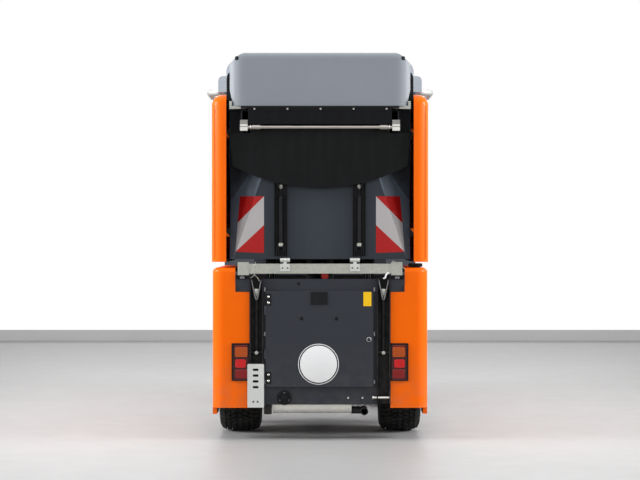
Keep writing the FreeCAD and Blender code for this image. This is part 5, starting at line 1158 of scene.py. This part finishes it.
CAB_HALF = 560
CAB_REAR = -330
NOSE_LOW = 440.3
NOSE, NOSE_LEAN = 1010, 25
BELT = 1020
SCREEN_FOOT, SCREEN_LEAN, SCREEN_RISE = 985, 295, 852
DOOR_WINDOW = ((-58, 960), (738, 960), (738, BELT), (578, 1753), (-58, 1753))
SCREEN_LOW = 760
SCREEN_TOP = 1800
GLASS_DEEP = 19
LAMP_HEIGHT = 640
DASH_EDGE = (740, 1000)


def front_y(z):
    """How far forward the nose and the screen's frame are at a height."""
    if z < BELT:
        return NOSE - NOSE_LEAN * (z - NOSE_LOW) / (BELT - NOSE_LOW)
    return SCREEN_FOOT - SCREEN_LEAN * (z - BELT) / SCREEN_RISE


def seal(name, body, points, radius):
    """A closed rubber cord through points."""
    wire(name, body, rubber, [points + points[:2]], radius)


def window_seals():
    """Cords round the panes of the doors, the rear window and the screen."""
    for side, name in SIDES:
        pane = [(side * (CAB_HALF - 1), y, z) for y, z in rounded(DOOR_WINDOW, 30)]
        seal("door_seal_" + name, "door_" + name, pane, 6)
    rear_window = round_outline((-310, 1130), (310, 1800), 40)
    seal("rear_window_seal", "front", [(x, CAB_REAR + 1, z) for x, z in rear_window], 7)
    edge = round_outline((-500, SCREEN_LOW), (500, SCREEN_TOP), 40)
    folded = []
    for (x, z), (x_next, z_next) in zip(edge, edge[1:] + edge[:1]):
        folded.append((x, z))
        if (z - BELT) * (z_next - BELT) < 0:
            folded.append((x, BELT))
    seal("screen_seal", "front", [(x, front_y(z) - 3, z) for x, z in folded], 7)


def door_and_mirror_fittings():
    """Handle and lock of each door, and the glass of each mirror."""
    for side, name in SIDES:
        door = "door_" + name
        near, far = sorted((side * 560.5, side * 579.5))
        blocks("handle_grip_" + name, door, black_plastic, [((near, -90.5, 896.5), (far, 36.5, 930.5))],
               smooth=40, bevel=4)
        turned("door_lock_" + name, door, bright_steel, [(side * CAB_HALF, -62, 868)], (side, 0, 0),
               [(13, 0), (13, 2), (11, 4), (4, 4), (3.5, 2), (0, 2)])
        low, high = sorted((side * 600, side * 684))
        plate("mirror_glass_" + name, "front", mirror_face, [round_outline((low, 1566), (high, 1824), 18)],
              854.5, 856.5, smooth=40, bevel=0.6)


def front_lamps():
    """The bright ring of each headlamp and the indicator beside it."""
    face = front_y(LAMP_HEIGHT)
    for side, name in SIDES:
        turned("headlamp_ring_" + name, "front", chrome, [(side * 400, face - 1, LAMP_HEIGHT)], FORWARD,
               [(62.5, 0), (62.5, 4), (66, 6), (72, 4), (74, 0)], 48, 35, True)
        turned("indicator_" + name, "front", amber_lens, [(side * 500, face - 2, LAMP_HEIGHT)], FORWARD,
               [(24, 0), (24, 7), (19, 11), (0, 13)], 32, 40)


def on_glass(x, z, lift):
    """A spot ahead of the screen's glass by the given lift."""
    return (x, front_y(z) - GLASS_DEEP + lift, z)


def wiper():
    """Arm on its hub, and the rubber blade."""
    bm = bmesh.new()
    put_lathe(bm, on_glass(20, 790, -2), (0, 1, 0.04), [(18, 0), (18, 12), (12, 18), (0, 19)], 24)
    put_tube(bm, [on_glass(20, 790, 12), on_glass(35, 860, 16), on_glass(85, 1020, 20),
                  on_glass(120, 1170, 12)], 4.5, 10, rounded=4)
    add_piece("wiper_arm", bm, black_coat, "front", smooth=50)
    wire("wiper_blade", "front", rubber,
         [[on_glass(40, 1035, 7), on_glass(105, 1180, 9), on_glass(190, 1430, 7)]], 4, smooth=50)


def cab_controls():
    """Hood with a dark display, two levers on their console and two pedals."""
    plate("dial_hood", "front", grained_plastic, [[DASH_EDGE, (800, 1055), (880, 1050), (900, 1000)]],
          -160, 160, "X", smooth=40, bevel=6)
    slope = Vector((60, 55)).normalized()
    lift = Vector((-slope.y, slope.x)) * 1.5
    near, far = [Vector(DASH_EDGE) + slope * along for along in (14, 68)]
    plate("display", "front", sign_black, [[near + lift, far + lift, far - lift * 0.2, near - lift * 0.2]],
          -130, 130, "X")
    bm = bmesh.new()
    for x in (285, 325):
        put_lathe(bm, (x, 190, 950), (0, 0.08, 1),
                  [(5, -30), (5, 75), (13, 82), (16, 96), (13, 108), (0, 112)], 20)
    put_box(bm, (262, 20, 842), (348, 300, 948))
    add_piece("side_console", bm, grained_plastic, "front", smooth=40, bevel=4)
    bm = bmesh.new()
    for x in (-185, 185):
        put_prism(bm, [(775, 520), (783, 512), (826, 602), (818, 610)], "X", x - 34, x + 34)
        put_tube(bm, [(x, 800, 556), (x, 850, 530), (x, 900, 490)], 6, 10)
    add_piece("pedals", bm, black_coat, "front", smooth=40, bevel=1)


# The seat's pads, in metres

CLOTH = {
    "quality": 5, "mass": 0.3, "tension_stiffness": 12, "compression_stiffness": 12,
    "shear_stiffness": 8, "bending_stiffness": 0.6, "use_pressure": True, "uniform_pressure_force": 4.0,
    "vertex_group_mass": "held",
}
CLOTH_FRAMES = 20
HELD_EDGE = 0.004
PUFF = 0.012
SEAM_HALF, SEAM_DEPTH = 0.0045, 0.004
SEAM_REACH, SEAM_LOW = 0.44, 0.6
PAD_ROUND = 0.3
VOXEL = 0.006
BACKREST_LEAN = 6


def inflate(thing, seams):
    """Blow the pad up as cloth under pressure, held at its bottom and along its seams."""
    mesh = thing.data
    start = [vertex.co.copy() for vertex in mesh.vertices]
    held = thing.vertex_groups.new(name="held")
    for vertex in mesh.vertices:
        if vertex.co.z < HELD_EDGE or any(seam(vertex.co) for seam in seams):
            held.add([vertex.index], 1.0, "REPLACE")
    cloth = thing.modifiers.new("cloth", "CLOTH")
    for key, value in CLOTH.items():
        setattr(cloth.settings, key, value)
    cloth.settings.effector_weights.gravity = 0
    scene = bpy.context.scene
    for number in range(CLOTH_FRAMES):
        scene.frame_set(number + 1)
    solved = thing.evaluated_get(bpy.context.evaluated_depsgraph_get())
    ends = [vertex.co.copy() for vertex in solved.data.vertices]
    thing.modifiers.remove(cloth)
    for vertex, before, after in zip(mesh.vertices, start, ends):
        move = after - before
        if move.length > PUFF:
            move *= PUFF / move.length
        vertex.co = before + move
    scene.frame_set(1)


def pad(name, size, seam_x, place):
    """A padded block of the given size, sewn along a line at each side, then set in its place."""
    wide, deep, high = size
    bm = bmesh.new()
    put_box(bm, (-wide / 2, -deep / 2, 0), (wide / 2, deep / 2, high))
    bmesh.ops.bevel(bm, geom=bm.edges[:], offset=high * PAD_ROUND, segments=4, affect="EDGES", profile=0.6)
    mesh = bpy.data.meshes.new(name)
    bm.to_mesh(mesh)
    bm.free()
    thing = new_object(name, mesh)
    voxels = thing.modifiers.new("voxels", "REMESH")
    voxels.mode = "VOXEL"
    voxels.voxel_size = VOXEL
    bpy.context.view_layer.update()
    fine = bpy.data.meshes.new_from_object(thing.evaluated_get(bpy.context.evaluated_depsgraph_get()))
    thing.modifiers.clear()
    thing.data = fine
    bpy.data.meshes.remove(mesh)
    seams = [lambda spot, x=x: abs(spot.x - x) < SEAM_HALF and abs(spot.y) < deep * SEAM_REACH
             and spot.z > high * SEAM_LOW for x in (-seam_x, seam_x)]
    for vertex in fine.vertices:
        if any(seam(vertex.co) for seam in seams):
            vertex.co.z -= SEAM_DEPTH
    inflate(thing, seams)
    smooth = thing.modifiers.new("smooth", "SUBSURF")
    smooth.levels = smooth.render_levels = 1
    fine.materials.append(seat_vinyl)
    fine.polygons.foreach_set("use_smooth", [True] * len(fine.polygons))
    thing.matrix_world = place
    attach(thing, "front")
    return thing


def seat():
    """The cushion, the leaning backrest and the shell that carries both."""
    cushion = pad("seat_cushion", (0.430, 0.400, 0.074), 0.115, Matrix.Translation((0, 0.040, 0.868)))
    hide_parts("seat")
    leaning = Matrix.Translation((0, -0.232, 1.200))
    for degrees, axis in ((90 + BACKREST_LEAN, "X"), (180, "Y"), (180, "Z")):
        leaning = leaning @ Matrix.Rotation(math.radians(degrees), 4, axis)
    pad("seat_backrest", (0.410, 0.480, 0.062), 0.105, leaning)
    outline = [(-262, 842.5), (246, 842.5), (250, 866), (-236, 866), (-240, 900),
               (-268, 1440), (-282, 1440), (-266, 870)]
    plate("seat_pan", "front", grained_plastic, [outline], -222, 222, "X", smooth=40, bevel=5)


window_seals()
door_and_mirror_fittings()
front_lamps()
wiper()
cab_controls()
seat()
